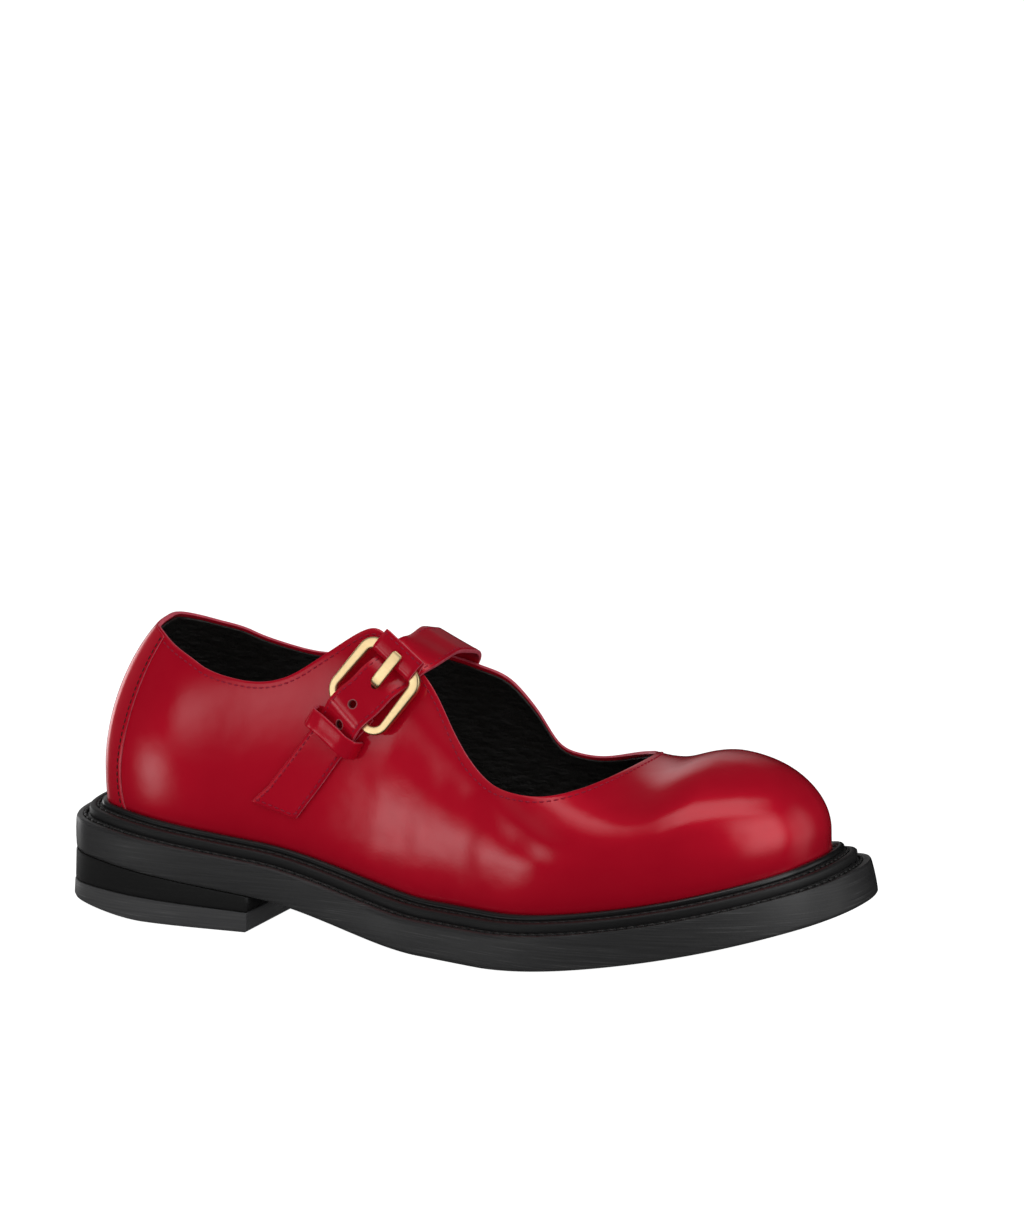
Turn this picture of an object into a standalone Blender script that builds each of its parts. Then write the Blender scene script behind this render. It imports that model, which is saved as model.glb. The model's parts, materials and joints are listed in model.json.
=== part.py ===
"""A woman's right Mary Jane shoe in red leather on a thick welted sole, about size EU 38.

The shape functions work in millimetres on the shoe's own axes: x runs from the back of the
sole to the toe, y to the inner (medial) side, z up from the floor.  Every mesh is made in
metres, and the whole shoe is placed with the middle of its footprint at the world origin.
"""
import math

import bmesh
import bpy
import numpy as np

MM = 0.001
GAP = 0.3                    # clearance between neighbouring pieces
FOOTPRINT_SHIFT = 3.1        # sideways move that centres the footprint

# ---------------------------------------------------------------- sole sizes
SOLE_LENGTH = 272.0
SLAB_THICKNESS = 11.3        # outsole slab under the welt
SLAB_EDGE_ROUND = 0.9
TOE_FLARE = 2.6              # how far the slab's side leans out at the toe
FLARE_FROM = 120.0
SEAT_HEIGHT_BACK = 19.6      # underside of the slab above the floor, back of the heel
SEAT_HEIGHT_BREAST = 11.8    # the same at the heel breast
HEEL_LENGTH = 73.0
TREAD_FROM = 136.0           # flat part of the forefoot
TREAD_TO = 160.0
TOE_SPRING = 19.6
TOE_SPRING_POWER = 1.5
HEEL_FLARE = 0.8
HEEL_ROLL_LENGTH = 34.0      # the heel's worn back edge
HEEL_ROLL = 4.0
TOP_PIECE_BACK = 9.2         # upper face of the top piece above the floor
TOP_PIECE_BREAST = 6.6

# Half-widths of the sole: distance from the back, outer side, inner side.
SOLE_STATIONS = (
    # x, outer, inner
    (4.0, 22.3, 20.5),
    (14.0, 30.8, 30.3),
    (35.0, 37.2, 37.6),
    (73.0, 38.3, 38.9),
    (110.0, 40.8, 40.2),
    (145.0, 50.2, 45.8),
    (175.0, 58.0, 50.9),
    (205.0, 57.7, 51.8),
    (235.0, 50.2, 46.5),
    (256.0, 37.2, 35.5),
    (268.0, 22.0, 20.5),
)

# ---------------------------------------------------------------- welt, rand, insole
WELT_INSET = 4.4             # the storm welt's wall, in from the slab's edge
WELT_TOP = 3.3               # above the slab
RAND_INSET = 9.5
RAND_RADIUS = 0.9
UPPER_INSET = 11.3           # where the upper meets the welt
UPPER_WALL = 2.2             # leather, lining and stiffener together
INSOLE_THICKNESS = 3.6

# ---------------------------------------------------------------- last
# The upper's pattern is a stadium: a spine from the heel's centre to the toe's centre and a
# half-width of PATTERN_RADIUS.  A pattern point is (along, across), 0 across on the spine.
SPINE_HEEL = 48.0
SPINE_TOE = 224.0
PATTERN_RADIUS = 40.0
SHOULDER = 0.8               # pattern fraction at which the side is widest
TUCK = math.radians(70.0)    # turn of the side below its widest line
FEATHER_LIFT = 3.8           # lower edge of the upper above the slab

# Height of the last's ridge above the floor along the spine.
RIDGE_STATIONS = (
    # along, height
    (48.0, 106.0),
    (75.0, 111.5),
    (105.0, 117.0),
    (125.0, 105.5),
    (150.0, 88.0),
    (175.0, 69.5),
    (192.0, 61.6),
    (208.0, 60.3),
    (216.0, 62.6),
    (224.0, 64.0),
    (232.0, 62.8),
)

# Across the toe and the heel the outer side's shape passes softly into the inner side's.
LEAN_FROM = -5.0      # the distance across at which the passage starts
LEAN_WIDTH = 24.0     # and the width over which it is done

# Sides of the last at stations along the sole: how far the side swells past its lower edge,
# how high above that edge it is widest, and how full the arch above is (2 is an ellipse).
SIDE_STATIONS = (
    # x, swell outer, swell inner, widest, fullness outer, fullness inner
    (0.0, 0.6, 0.6, 11.4, 1.70, 1.70),
    (30.0, 1.1, 1.8, 14.9, 1.90, 2.05),
    (75.0, 1.4, 1.5, 16.9, 2.15, 2.25),
    (110.0, 1.5, 1.0, 17.4, 2.20, 2.20),
    (150.0, 1.5, 1.0, 16.4, 2.10, 2.10),
    (185.0, 2.0, 1.4, 14.4, 2.10, 2.00),
    (215.0, 2.3, 0.3, 12.4, 2.10, 2.25),
    (245.0, 1.4, -2.0, 9.9, 2.10, 2.10),
    (272.0, -0.8, -0.8, 8.4, 1.95, 1.95),
)

# The mouth of the upper on the pattern, from the back seam round the outer side to the
# throat and home along the inner side.
MOUTH_STATIONS = (
    # along, across
    (36.2, 0.0),
    (37.4, -8.3),
    (40.1, -13.0),
    (44.2, -16.2),
    (50.5, -18.4),
    (60.0, -19.9),
    (72.0, -20.8),
    (83.2, -20.3),
    (91.5, -18.8),
    (99.2, -16.9),
    (106.0, -14.7),
    (112.0, -13.2),
    (118.0, -13.7),
    (124.0, -14.2),
    (129.6, -14.6),
    (135.6, -16.1),
    (141.8, -18.4),
    (149.0, -20.5),
    (157.6, -21.7),
    (167.0, -21.1),
    (176.8, -19.0),
    (186.2, -14.9),
    (193.5, -8.9),
    (197.2, 0.0),
    (193.2, 8.6),
    (185.0, 14.6),
    (176.8, 18.7),
    (168.0, 21.8),
    (159.8, 23.1),
    (153.0, 22.6),
    (148.0, 19.5),
    (144.6, 17.8),
    (140.8, 16.5),
    (136.5, 16.2),
    (131.0, 16.7),
    (124.5, 17.4),
    (116.0, 18.4),
    (106.5, 18.8),
    (97.0, 19.5),
    (86.0, 20.7),
    (72.0, 20.7),
    (58.0, 19.0),
    (47.5, 16.7),
    (41.0, 13.4),
    (37.3, 7.9),
)
# Which row of the mouth each share of the upper's ring is joined to.
MOUTH_ANCHORS = ((0.0, 0), (0.10, 3), (0.24, 9), (0.40, 21), (0.5, 23), (0.6, 25), (0.715, 30),
                 (0.80, 38), (0.9, 42), (1.0, 45))

# ---------------------------------------------------------------- strap and buckle
STRAP_WIDTH = 14.6
STRAP_THICKNESS = 1.4
STRIP_WIDTH = 14.0
STRIP_THICKNESS = 1.2
# Middle line of the strap on the pattern, inner side to outer side, with the height of its
# underside above the last.  A height below zero is where it bridges the open instep, pulled
# tight below the line that the foot would take.
STRAP_STATIONS = (
    # along, across, lift
    (86.0, 32.6, 0.3),
    (94.5, 29.6, 0.3),
    (104.0, 26.2, 0.35),
    (112.0, 22.6, 0.5),
    (117.0, 20.0, 0.95),
    (120.6, 17.9, 1.05),
    (123.4, 15.6, -1.3),
    (126.6, 12.0, -5.7),
    (129.5, 6.7, -9.5),
    (130.8, 0.6, -10.5),
    (129.9, -4.6, -9.5),
    (128.2, -8.8, -6.3),
    (126.4, -11.6, -2.6),
    (124.0, -13.7, 0.2),
    (119.5, -16.7, 0.45),
    (117.5, -17.9, 1.7),
    (115.4, -19.1, 2.9),
    (113.2, -20.4, 3.7),
    (110.5, -21.6, 4.2),
    (108.2, -22.5, 4.9),
    (106.0, -23.4, 4.9),
    (104.2, -24.1, 3.5),
    (102.6, -24.7, 2.3),
    (99.8, -25.7, 1.95),
)
# Where the strap bridges the instep it lies flatter than the last does: this share of its drop
# is given back for each millimetre towards the strap's front edge, and taken at its rear edge.
BRIDGE_FLATTER = 0.012
# The strip that holds the buckle, sewn down the outer quarter.  It is drawn past its end and
# then cut off square to the sole, so its rear edge is longer than its front edge.
STRIP_STATIONS = (
    (109.2, -22.1, 0.3),
    (104.0, -24.2, 0.3),
    (97.9, -26.4, 0.3),
    (89.4, -29.6, 0.3),
    (81.2, -32.4, 0.3),
    (75.2, -34.8, 0.3),
)
STRIP_END = (80.2, -32.4)    # the point that the buckle's axis aims at
STRIP_TRIM = 5.4             # cut off the drawn length at the strip's middle
STRIP_SKEW = 0.7             # cut off more for each millimetre towards the front edge
NEARING_STEPS = 3            # steps in which a band's edge is brought onto the last
# The keeper arches over the strap and strip from the heel side to the toe side.
KEEPER_STATIONS = (
    (92.9, -24.3, 0.3),
    (93.1, -24.33, 1.8),
    (93.5, -24.4, 3.8),
    (94.6, -24.55, 5.1),
    (97.0, -24.8, 5.6),
    (100.0, -25.2, 5.75),
    (103.4, -25.65, 5.75),
    (106.1, -25.99, 5.5),
    (107.9, -26.12, 4.7),
    (108.5, -26.16, 2.6),
    (108.7, -26.17, 0.3),
)
BUCKLE_AT = (114.3, -19.75)  # pattern point under the middle of the frame
BUCKLE_LIFT = 2.9            # middle of the frame above the last
BUCKLE_TURN = math.radians(20.5)
FRAME_LENGTH = 26.2          # along the strap, outside
FRAME_WIDTH = 25.8
FRAME_BAR = 2.8
FRAME_CORNER = 6.0
FRAME_FLATNESS = 0.72        # thickness of the frame's bars over their width
FRAME_SHIFT = (-0.6, -0.3)   # frame's middle from that point, along and across
PRONG_WIDTH = 3.4
PRONG_SHIFT = 0.3            # prong beside the middle, towards the toe
PRONG_ON_STRAP = 4.9         # underside of the prong where it leaves the strap's hole
PRONG_THICKNESS = 1.2
PRONG_OVERHANG = 0.6         # how far its tip reaches past the frame
PRONG_OVER_BAR = 4.5         # length that lies over the frame's bar and its tab
PRONG_SPARE = 0.15           # over the tab, more than the usual gap
PRONG_FOOT = (-4.0, -1.4)    # down the strap: where it levels out, and where it ends
TAB_WIDTH = 17.0
TAB_THICKNESS = 0.8
TAB_SLACK = (0.35, 0.1)      # room in the fold beside the bar and above it, past the gap
TAB_PLIES = (3.4, 5.0)       # from the bar: where the two plies meet, and where they end
TAB_LEAVES = 1.5             # from the bar: where each ply leaves the fold
KEEPER_WIDTH = 6.2
KEEPER_THICKNESS = 1.2

RING = 96                    # points round the sole, welt and upper
UPPER_ROWS = 12


# ================================================================ curves
def spline(xs, ys):
    """Natural cubic spline through a short table."""
    xs = np.asarray(xs, float)
    ys = np.asarray(ys, float)
    count = len(xs)
    step = np.diff(xs)
    rows = np.eye(count)
    right = np.zeros(count)
    for i in range(1, count - 1):
        rows[i, i - 1] = step[i - 1]
        rows[i, i] = 2.0 * (step[i - 1] + step[i])
        rows[i, i + 1] = step[i]
        right[i] = 6.0 * ((ys[i + 1] - ys[i]) / step[i] - (ys[i] - ys[i - 1]) / step[i - 1])
    bend = np.linalg.solve(rows, right)

    def value(x):
        x = np.clip(np.asarray(x, float), xs[0], xs[-1])
        i = np.clip(np.searchsorted(xs, x) - 1, 0, count - 2)
        before = xs[i + 1] - x
        after = x - xs[i]
        span = step[i]
        curve = (bend[i] * before**3 + bend[i + 1] * after**3) / (6.0 * span)
        left_line = (ys[i] / span - bend[i] * span / 6.0) * before
        right_line = (ys[i + 1] / span - bend[i + 1] * span / 6.0) * after
        return curve + left_line + right_line

    return value


def closed_curve(points, anchors, count):
    """A ring of points on a closed spline; anchors pair a share of the ring with a row."""
    points = np.asarray(points, float)
    loop = np.vstack([points[-3:], points, points[:4]])
    chord = np.concatenate([[0.0], np.cumsum(np.linalg.norm(np.diff(loop, axis=0), axis=1))])
    along = [spline(chord, loop[:, axis]) for axis in range(points.shape[1])]
    shares = [share for share, row in anchors]
    stops = [chord[row + 3] for share, row in anchors]
    places = np.interp(np.arange(count) / count, shares, stops)
    return np.stack([part(places) for part in along], axis=1)


def open_curve(points, count):
    """Evenly spaced points on an open spline through the given rows."""
    points = np.asarray(points, float)
    chord = np.concatenate([[0.0], np.cumsum(np.linalg.norm(np.diff(points[:, :2], axis=0), axis=1))])
    places = np.linspace(0.0, chord[-1], count)
    return np.stack([spline(chord, points[:, axis])(places) for axis in range(points.shape[1])], axis=1)


# ================================================================ sole
def sole_turn(x):
    """Angle that runs from 0 at the heel's back to pi at the toe."""
    return np.arccos(np.clip(1.0 - 2.0 * np.asarray(x, float) / SOLE_LENGTH, -1.0, 1.0))


def sole_side(column):
    """Half-width of the sole as a smooth function of the turn, closed at both ends."""
    table = np.array(SOLE_STATIONS)
    turn = sole_turn(table[:, 0])
    width = table[:, column]
    angles = np.concatenate([-turn[2::-1], [0.0], turn, [math.pi], 2.0 * math.pi - turn[:-4:-1]])
    values = np.concatenate([-width[2::-1], [0.0], width, [0.0], -width[:-4:-1]])
    return spline(angles, values)


OUTER_SIDE = sole_side(1)
INNER_SIDE = sole_side(2)


def sole_outline(count):
    """Outline seen from above: heel's back, outer side, toe, inner side."""
    angle = 2.0 * math.pi * np.arange(count) / count
    x = SOLE_LENGTH * (1.0 - np.cos(angle)) / 2.0
    outer = -OUTER_SIDE(np.minimum(angle, math.pi))
    inner = INNER_SIDE(np.minimum(2.0 * math.pi - angle, math.pi))
    return np.stack([x, np.where(angle <= math.pi, outer, inner)], axis=1)


def inset(outline, distance):
    """The outline moved inwards by a distance."""
    along = np.roll(outline, -1, axis=0) - np.roll(outline, 1, axis=0)
    along = along / np.linalg.norm(along, axis=1)[:, None]
    inward = np.stack([-along[:, 1], along[:, 0]], axis=1)
    return outline + inward * distance


def slab_top_outline(count):
    """The slab's upper edge, drawn in where the toe's side leans out."""
    outline = sole_outline(count)
    middle = np.array([SOLE_LENGTH / 2.0, 0.0])
    share = np.clip((outline[:, 0] - FLARE_FROM) / FLARE_FROM, 0.0, 1.0)
    lean = share * TOE_FLARE / middle[0]
    return outline - (outline - middle) * lean[:, None]


def underside(x):
    """Height of the slab's underside: heel seat, arch, flat tread and toe spring."""
    x = np.asarray(x, float)
    fall = (SEAT_HEIGHT_BREAST - SEAT_HEIGHT_BACK) / HEEL_LENGTH
    seat = SEAT_HEIGHT_BACK + fall * x
    reach = TREAD_FROM - HEEL_LENGTH
    t = np.clip((x - HEEL_LENGTH) / reach, 0.0, 1.0)
    arch = (SEAT_HEIGHT_BREAST * (1.0 + 2.0 * t) + fall * reach * t) * (1.0 - t) ** 2
    ahead = np.clip((x - TREAD_TO) / (SOLE_LENGTH - TREAD_TO), 0.0, 1.0)
    front = TOE_SPRING * ahead**TOE_SPRING_POWER
    return np.where(x > TREAD_TO, front, np.where(x > HEEL_LENGTH, arch, seat))


def slab_top(x):
    return underside(x) + SLAB_THICKNESS


def ring_at(outline, height):
    """A ring of 3-D points over an outline, at a height above the slab."""
    return np.column_stack([outline, slab_top(outline[:, 0]) + height])


# ================================================================ the last
def side_table(column_outer, column_inner):
    """Side values as functions of x, one for each side."""
    table = np.array(SIDE_STATIONS)
    turn = sole_turn(table[:, 0])
    return spline(turn, table[:, column_outer]), spline(turn, table[:, column_inner])


def round_key(spine, reach):
    """Distance round the pattern from the heel's back, negative on the outer side."""
    side = (SPINE_TOE - SPINE_HEEL) / PATTERN_RADIUS
    angle = np.abs(np.arctan2(reach[:, 1], reach[:, 0]))
    key = math.pi / 2.0 + (spine - SPINE_HEEL) / PATTERN_RADIUS
    key = np.where(spine <= SPINE_HEEL, math.pi - angle, key)
    key = np.where(spine >= SPINE_TOE, math.pi + side - angle, key)
    return np.where(reach[:, 1] < 0.0, -key, key)


class Last:
    """The outer surface of the upper over the whole pattern, open or not."""

    def __init__(self):
        edge = inset(slab_top_outline(480), UPPER_INSET)
        spine = np.clip(edge[:, 0], SPINE_HEEL, SPINE_TOE)
        reach = edge - np.column_stack([spine, np.zeros(len(spine))])
        key = round_key(spine, reach)
        order = np.argsort(key)
        edge = edge[order]
        self.key = key[order]
        self.reach = np.linalg.norm(reach, axis=1)[order]
        self.ridge = spline(*np.array(RIDGE_STATIONS).T)
        turn = sole_turn(edge[:, 0])
        lean = np.clip((edge[:, 1] - LEAN_FROM) / LEAN_WIDTH, 0.0, 1.0)
        lean = lean * lean * (3.0 - 2.0 * lean)

        def side(column_outer, column_inner):
            on_outer, on_inner = side_table(column_outer, column_inner)
            return (1.0 - lean) * on_outer(turn) + lean * on_inner(turn)

        self.swell = side(1, 2)
        self.widest = side(3, 3)
        self.fullness = side(4, 5)
        self.foot = slab_top(edge[:, 0]) + FEATHER_LIFT

    def point(self, pattern):
        """3-D points, in millimetres, of an array of pattern points."""
        pattern = np.atleast_2d(np.asarray(pattern, float))
        spine = np.clip(pattern[:, 0], SPINE_HEEL, SPINE_TOE)
        reach = pattern - np.column_stack([spine, np.zeros(len(spine))])
        distance = np.linalg.norm(reach, axis=1)
        key = round_key(spine, reach)
        way = reach / np.maximum(distance, 1e-9)[:, None]
        share = distance / PATTERN_RADIUS
        foot_reach = np.interp(key, self.key, self.reach)
        swell = np.interp(key, self.key, self.swell)
        widest = np.interp(key, self.key, self.widest)
        power = 2.0 / np.interp(key, self.key, self.fullness)
        waist = np.interp(key, self.key, self.foot) + widest
        ridge = self.ridge(spine)
        arch = 0.5 * math.pi * np.clip(share / SHOULDER, 0.0, 1.0)
        tuck = TUCK * np.clip((share - SHOULDER) / (1.0 - SHOULDER), 0.0, 1.2)
        sine = np.maximum(np.sin(arch), 1e-9)
        cosine = np.maximum(np.cos(arch), 1e-9)
        over = (foot_reach + swell) * sine**power
        rise = waist + (ridge - waist) * cosine**power
        turn_in = (np.cos(tuck) - math.cos(TUCK)) / (1.0 - math.cos(TUCK))
        under = foot_reach + swell * turn_in
        drop = waist - widest * np.sin(tuck) / math.sin(TUCK)
        above = share <= SHOULDER
        out = np.where(above, over, under)
        height = np.where(above, rise, drop)
        return np.column_stack([spine + way[:, 0] * out, way[:, 1] * out, height])

    def normal(self, pattern, step=0.4):
        """Outward normals at an array of pattern points."""
        pattern = np.atleast_2d(np.asarray(pattern, float))
        along = self.point(pattern + (step, 0.0)) - self.point(pattern - (step, 0.0))
        across = self.point(pattern + (0.0, step)) - self.point(pattern - (0.0, step))
        normal = np.cross(along, across)
        return normal / np.linalg.norm(normal, axis=1)[:, None]


LAST = Last()


def foot_pattern(count):
    """Pattern points of the upper's lower edge, evenly spaced round the stadium."""
    side = SPINE_TOE - SPINE_HEEL
    arc = math.pi * PATTERN_RADIUS
    places = np.linspace(0.0, 2.0 * (arc + side), count, endpoint=False)
    points = []
    for place in places:
        mirrored = place > arc + side
        way = 2.0 * (arc + side) - place if mirrored else place
        if way < arc / 2.0:
            angle = math.pi - way / PATTERN_RADIUS
            x, y = SPINE_HEEL + PATTERN_RADIUS * math.cos(angle), PATTERN_RADIUS * math.sin(angle)
        elif way < arc / 2.0 + side:
            x, y = SPINE_HEEL + way - arc / 2.0, PATTERN_RADIUS
        else:
            angle = math.pi / 2.0 - (way - arc / 2.0 - side) / PATTERN_RADIUS
            x, y = SPINE_TOE + PATTERN_RADIUS * math.cos(angle), PATTERN_RADIUS * math.sin(angle)
        points.append((x, y if mirrored else -y))
    return np.array(points)


# ================================================================ mesh helpers
def material(name, colour, roughness, metallic=0.0):
    """A Principled material of one colour."""
    result = bpy.data.materials.new(name)
    result.use_nodes = True
    shader = result.node_tree.nodes["Principled BSDF"]
    shader.inputs["Base Color"].default_value = (*colour, 1.0)
    shader.inputs["Roughness"].default_value = roughness
    shader.inputs["Metallic"].default_value = metallic
    result.diffuse_color = (*colour, 1.0)
    return result


def place(mesh, name, finish):
    """An object for the mesh, on the shoe's axes and in the shoe's collection."""
    thing = bpy.data.objects.new(name, mesh)
    thing.location = (-SOLE_LENGTH / 2.0 * MM, FOOTPRINT_SHIFT * MM, 0.0)
    mesh.materials.append(finish)
    SHOE.objects.link(thing)
    return thing


def mesh_of(name, vertices, faces, smooth_angle=math.radians(35.0)):
    """A mesh from millimetre points, smooth but for its sharp edges."""
    mesh = bpy.data.meshes.new(name)
    mesh.from_pydata([tuple(float(c) * MM for c in v) for v in vertices], [], faces)
    mesh.update()
    mesh.shade_smooth()
    mesh.set_sharp_from_angle(angle=smooth_angle)
    return mesh


def loft(rings, closed_section=False, capped=True):
    """Faces between rings of equal count; caps run across in strips from side to side."""
    count = len(rings[0])
    vertices = np.vstack(rings)
    faces = []
    levels = len(rings)
    pairs = levels if closed_section else levels - 1
    for level in range(pairs):
        low = level * count
        high = ((level + 1) % levels) * count
        for i in range(count):
            j = (i + 1) % count
            faces.append((low + i, low + j, high + j, high + i))
    if capped and not closed_section:
        for base, upward in ((0, False), ((levels - 1) * count, True)):
            for i in range(count // 2):
                ring = [i, i + 1, (count - i - 1) % count, (count - i) % count]
                corners = [base + k for k in dict.fromkeys(ring)]
                if len(corners) > 2:
                    faces.append(tuple(corners if upward else corners[::-1]))
    return vertices, faces


# ================================================================ sole pieces
def make_outsole(finish):
    outer = sole_outline(RING)
    top = slab_top_outline(RING)
    low = np.column_stack([outer, underside(outer[:, 0])])
    shoulder = ring_at(top, -SLAB_EDGE_ROUND)
    upper = ring_at(inset(top, SLAB_EDGE_ROUND), 0.0)
    return place(mesh_of("outsole", *loft([low, shoulder, upper])), "outsole", finish)


def heel_outline(extra):
    """Outline of the heel from the breast's outer corner round the back to the inner corner."""
    turn = sole_turn(HEEL_LENGTH)
    angles = np.linspace(-turn, turn, 45)
    x = SOLE_LENGTH * (1.0 - np.cos(angles)) / 2.0
    y = np.where(angles < 0.0, -OUTER_SIDE(np.abs(angles)), INNER_SIDE(np.abs(angles)))
    middle = np.array([HEEL_LENGTH / 2.0, 0.0])
    points = np.column_stack([x, y])
    grow = 1.0 + extra / middle[0]
    points = middle + (points - middle) * grow
    points[:, 0] = np.minimum(points[:, 0], HEEL_LENGTH)
    return points


def strip_solid(low, high):
    """A closed solid between two open outlines whose ends are joined straight across."""
    count = len(low)
    vertices = np.vstack([low, high])
    faces = []
    for i in range(count):
        j = (i + 1) % count
        faces.append((j, i, count + i, count + j))
    for i in range((count - 1) // 2):
        corners = list(dict.fromkeys([i, i + 1, count - 2 - i, count - 1 - i]))
        faces.append(tuple(corners))
        faces.append(tuple(count + k for k in corners[::-1]))
    return vertices, faces


def top_piece_height(x):
    return TOP_PIECE_BACK + (TOP_PIECE_BREAST - TOP_PIECE_BACK) * x / HEEL_LENGTH


def make_heel_block(finish):
    low = heel_outline(HEEL_FLARE * 0.5)
    high = heel_outline(0.0)
    bottom = np.column_stack([low, top_piece_height(low[:, 0]) + GAP / 2.0])
    top = np.column_stack([high, underside(high[:, 0]) - GAP])
    return place(mesh_of("heel_block", *strip_solid(bottom, top)), "heel_block", finish)


def make_heel_top_piece(finish):
    low = heel_outline(HEEL_FLARE)
    high = heel_outline(HEEL_FLARE * 0.6)
    roll = HEEL_ROLL * np.clip(1.0 - low[:, 0] / HEEL_ROLL_LENGTH, 0.0, 1.0) ** 1.5
    bottom = np.column_stack([low, roll])
    top = np.column_stack([high, top_piece_height(high[:, 0]) - GAP / 2.0])
    return place(mesh_of("heel_top_piece", *strip_solid(bottom, top)), "heel_top_piece", finish)


def ring_solid(name, section, finish, count=RING):
    """A ring round the sole; the section lists (distance in from the slab's edge, height)."""
    outline = slab_top_outline(count)
    rings = [ring_at(inset(outline, distance), height) for distance, height in section]
    return place(mesh_of(name, *loft(rings, closed_section=True)), name, finish)


def make_welt(finish):
    inner = UPPER_INSET + UPPER_WALL / 2.0
    section = [
        (WELT_INSET, GAP),
        (WELT_INSET, WELT_TOP - 0.5),
        (WELT_INSET + 0.5, WELT_TOP),
        (inner, WELT_TOP),
        (inner, GAP),
    ]
    return ring_solid("welt", section, finish)


def make_storm_rand(finish):
    centre = WELT_TOP + 0.25 + RAND_RADIUS
    section = []
    for k in range(6):
        angle = math.radians(-150.0 - 60.0 * k)
        across = RAND_INSET - RAND_RADIUS * math.cos(angle)
        section.append((across, centre + RAND_RADIUS * math.sin(angle)))
    return ring_solid("storm_rand", section[::-1], finish)


def make_insole(finish):
    outline = inset(slab_top_outline(RING), UPPER_INSET + UPPER_WALL + 0.2 + GAP)
    rings = [ring_at(outline, GAP), ring_at(outline, GAP + INSOLE_THICKNESS)]
    return place(mesh_of("insole", *loft(rings)), "insole", finish)


# ================================================================ upper
def make_upper(finish):
    """The whole upper as one wall, from its lower edge up to the mouth."""
    foot = foot_pattern(RING)
    mouth = closed_curve(MOUTH_STATIONS, MOUTH_ANCHORS, RING)
    share = np.linspace(0.0, 1.0, UPPER_ROWS + 1)
    rings = [LAST.point(foot + (mouth - foot) * t) for t in share]
    mesh = mesh_of("upper", *loft(rings, capped=False), smooth_angle=math.radians(60.0))
    thing = place(mesh, "upper", finish)
    wall = thing.modifiers.new("wall", "SOLIDIFY")
    wall.thickness = UPPER_WALL * MM
    wall.offset = -1.0
    wall.use_even_offset = True
    wall.use_quality_normals = True
    return thing


# ================================================================ strap pieces
def beside(start, target):
    """The pattern place, near a start, whose point on the last is nearest to a target."""
    step = 0.4
    place = np.array(start, dtype=float)
    for _ in range(NEARING_STEPS):
        move_x = (LAST.point([place + (step, 0.0)])[0] - LAST.point([place - (step, 0.0)])[0]) / (2 * step)
        move_y = (LAST.point([place + (0.0, step)])[0] - LAST.point([place - (0.0, step)])[0]) / (2 * step)
        miss = target - LAST.point([place])[0]
        place = place + np.linalg.lstsq(np.column_stack([move_x, move_y]), miss, rcond=None)[0]
    return place


def band_grid(stations, width, count, ribs=5):
    """Rows of points for a band that follows the last, at each station's lift above it."""
    rows = open_curve(stations, count)
    middle = LAST.point(rows[:, :2])
    along = np.gradient(middle, axis=0)
    along = along / np.linalg.norm(along, axis=1)[:, None]
    grid = []
    for row, here_on_last, way in zip(rows, middle, along):
        here = row[:2]
        across = np.cross(LAST.normal([here])[0], way)
        offsets = np.linspace(-width / 2.0, width / 2.0, ribs)
        places = np.array([beside(here, here_on_last + across * offset) for offset in offsets])
        lifts = row[2] - BRIDGE_FLATTER * min(row[2], 0.0) * offsets
        points = LAST.point(places) + LAST.normal(places) * lifts[:, None]
        grid.append(points)
    return np.array(grid)


def grid_mesh(name, grid):
    """An open sheet over a grid of points."""
    rows, columns = grid.shape[:2]
    faces = []
    for i in range(rows - 1):
        for j in range(columns - 1):
            a = i * columns + j
            faces.append((a, a + columns, a + columns + 1, a + 1))
    return mesh_of(name, grid.reshape(-1, 3), faces, math.radians(60.0))


def trimmed(grid, width, trim, skew):
    """The grid with its far end cut off, by a length that grows across the band."""
    count, ribs = grid.shape[:2]
    drawn = np.sum(np.linalg.norm(np.diff(grid[:, ribs // 2], axis=0), axis=1))
    cut = grid.copy()
    for rib, offset in enumerate(np.linspace(-width / 2.0, width / 2.0, ribs)):
        rows = np.linspace(0.0, (count - 1) * (1.0 - (trim + skew * offset) / drawn), count)
        columns = [np.interp(rows, np.arange(count), column) for column in grid[:, rib].T]
        cut[:, rib] = np.stack(columns, axis=1)
    return cut


def make_band(name, stations, width, thickness, count, finish, trim=0.0, skew=0.0):
    grid = trimmed(band_grid(stations, width, count), width, trim, skew)
    thing = place(grid_mesh(name, grid), name, finish)
    wall = thing.modifiers.new("thickness", "SOLIDIFY")
    wall.thickness = thickness * MM
    wall.offset = 1.0
    return thing


# ================================================================ buckle
class BuckleFrame:
    """Axes of the buckle: down the strap, across it, and up from the last."""

    def __init__(self):
        here = np.array(BUCKLE_AT)
        self.up = LAST.normal([here])[0]
        strip_end = np.array(STRIP_END)
        way = (strip_end - here) / np.linalg.norm(strip_end - here)
        down = LAST.point([here + way * 0.5])[0] - LAST.point([here - way * 0.5])[0]
        down = down / np.linalg.norm(down)
        across = np.cross(self.up, down)
        turn = BUCKLE_TURN
        self.down = down * math.cos(turn) + across * math.sin(turn)
        self.across = across * math.cos(turn) - down * math.sin(turn)
        self.base = LAST.point([here])[0]

    def at(self, down, across, lift):
        return self.base + self.down * down + self.across * across + self.up * lift


BUCKLE = BuckleFrame()


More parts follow.
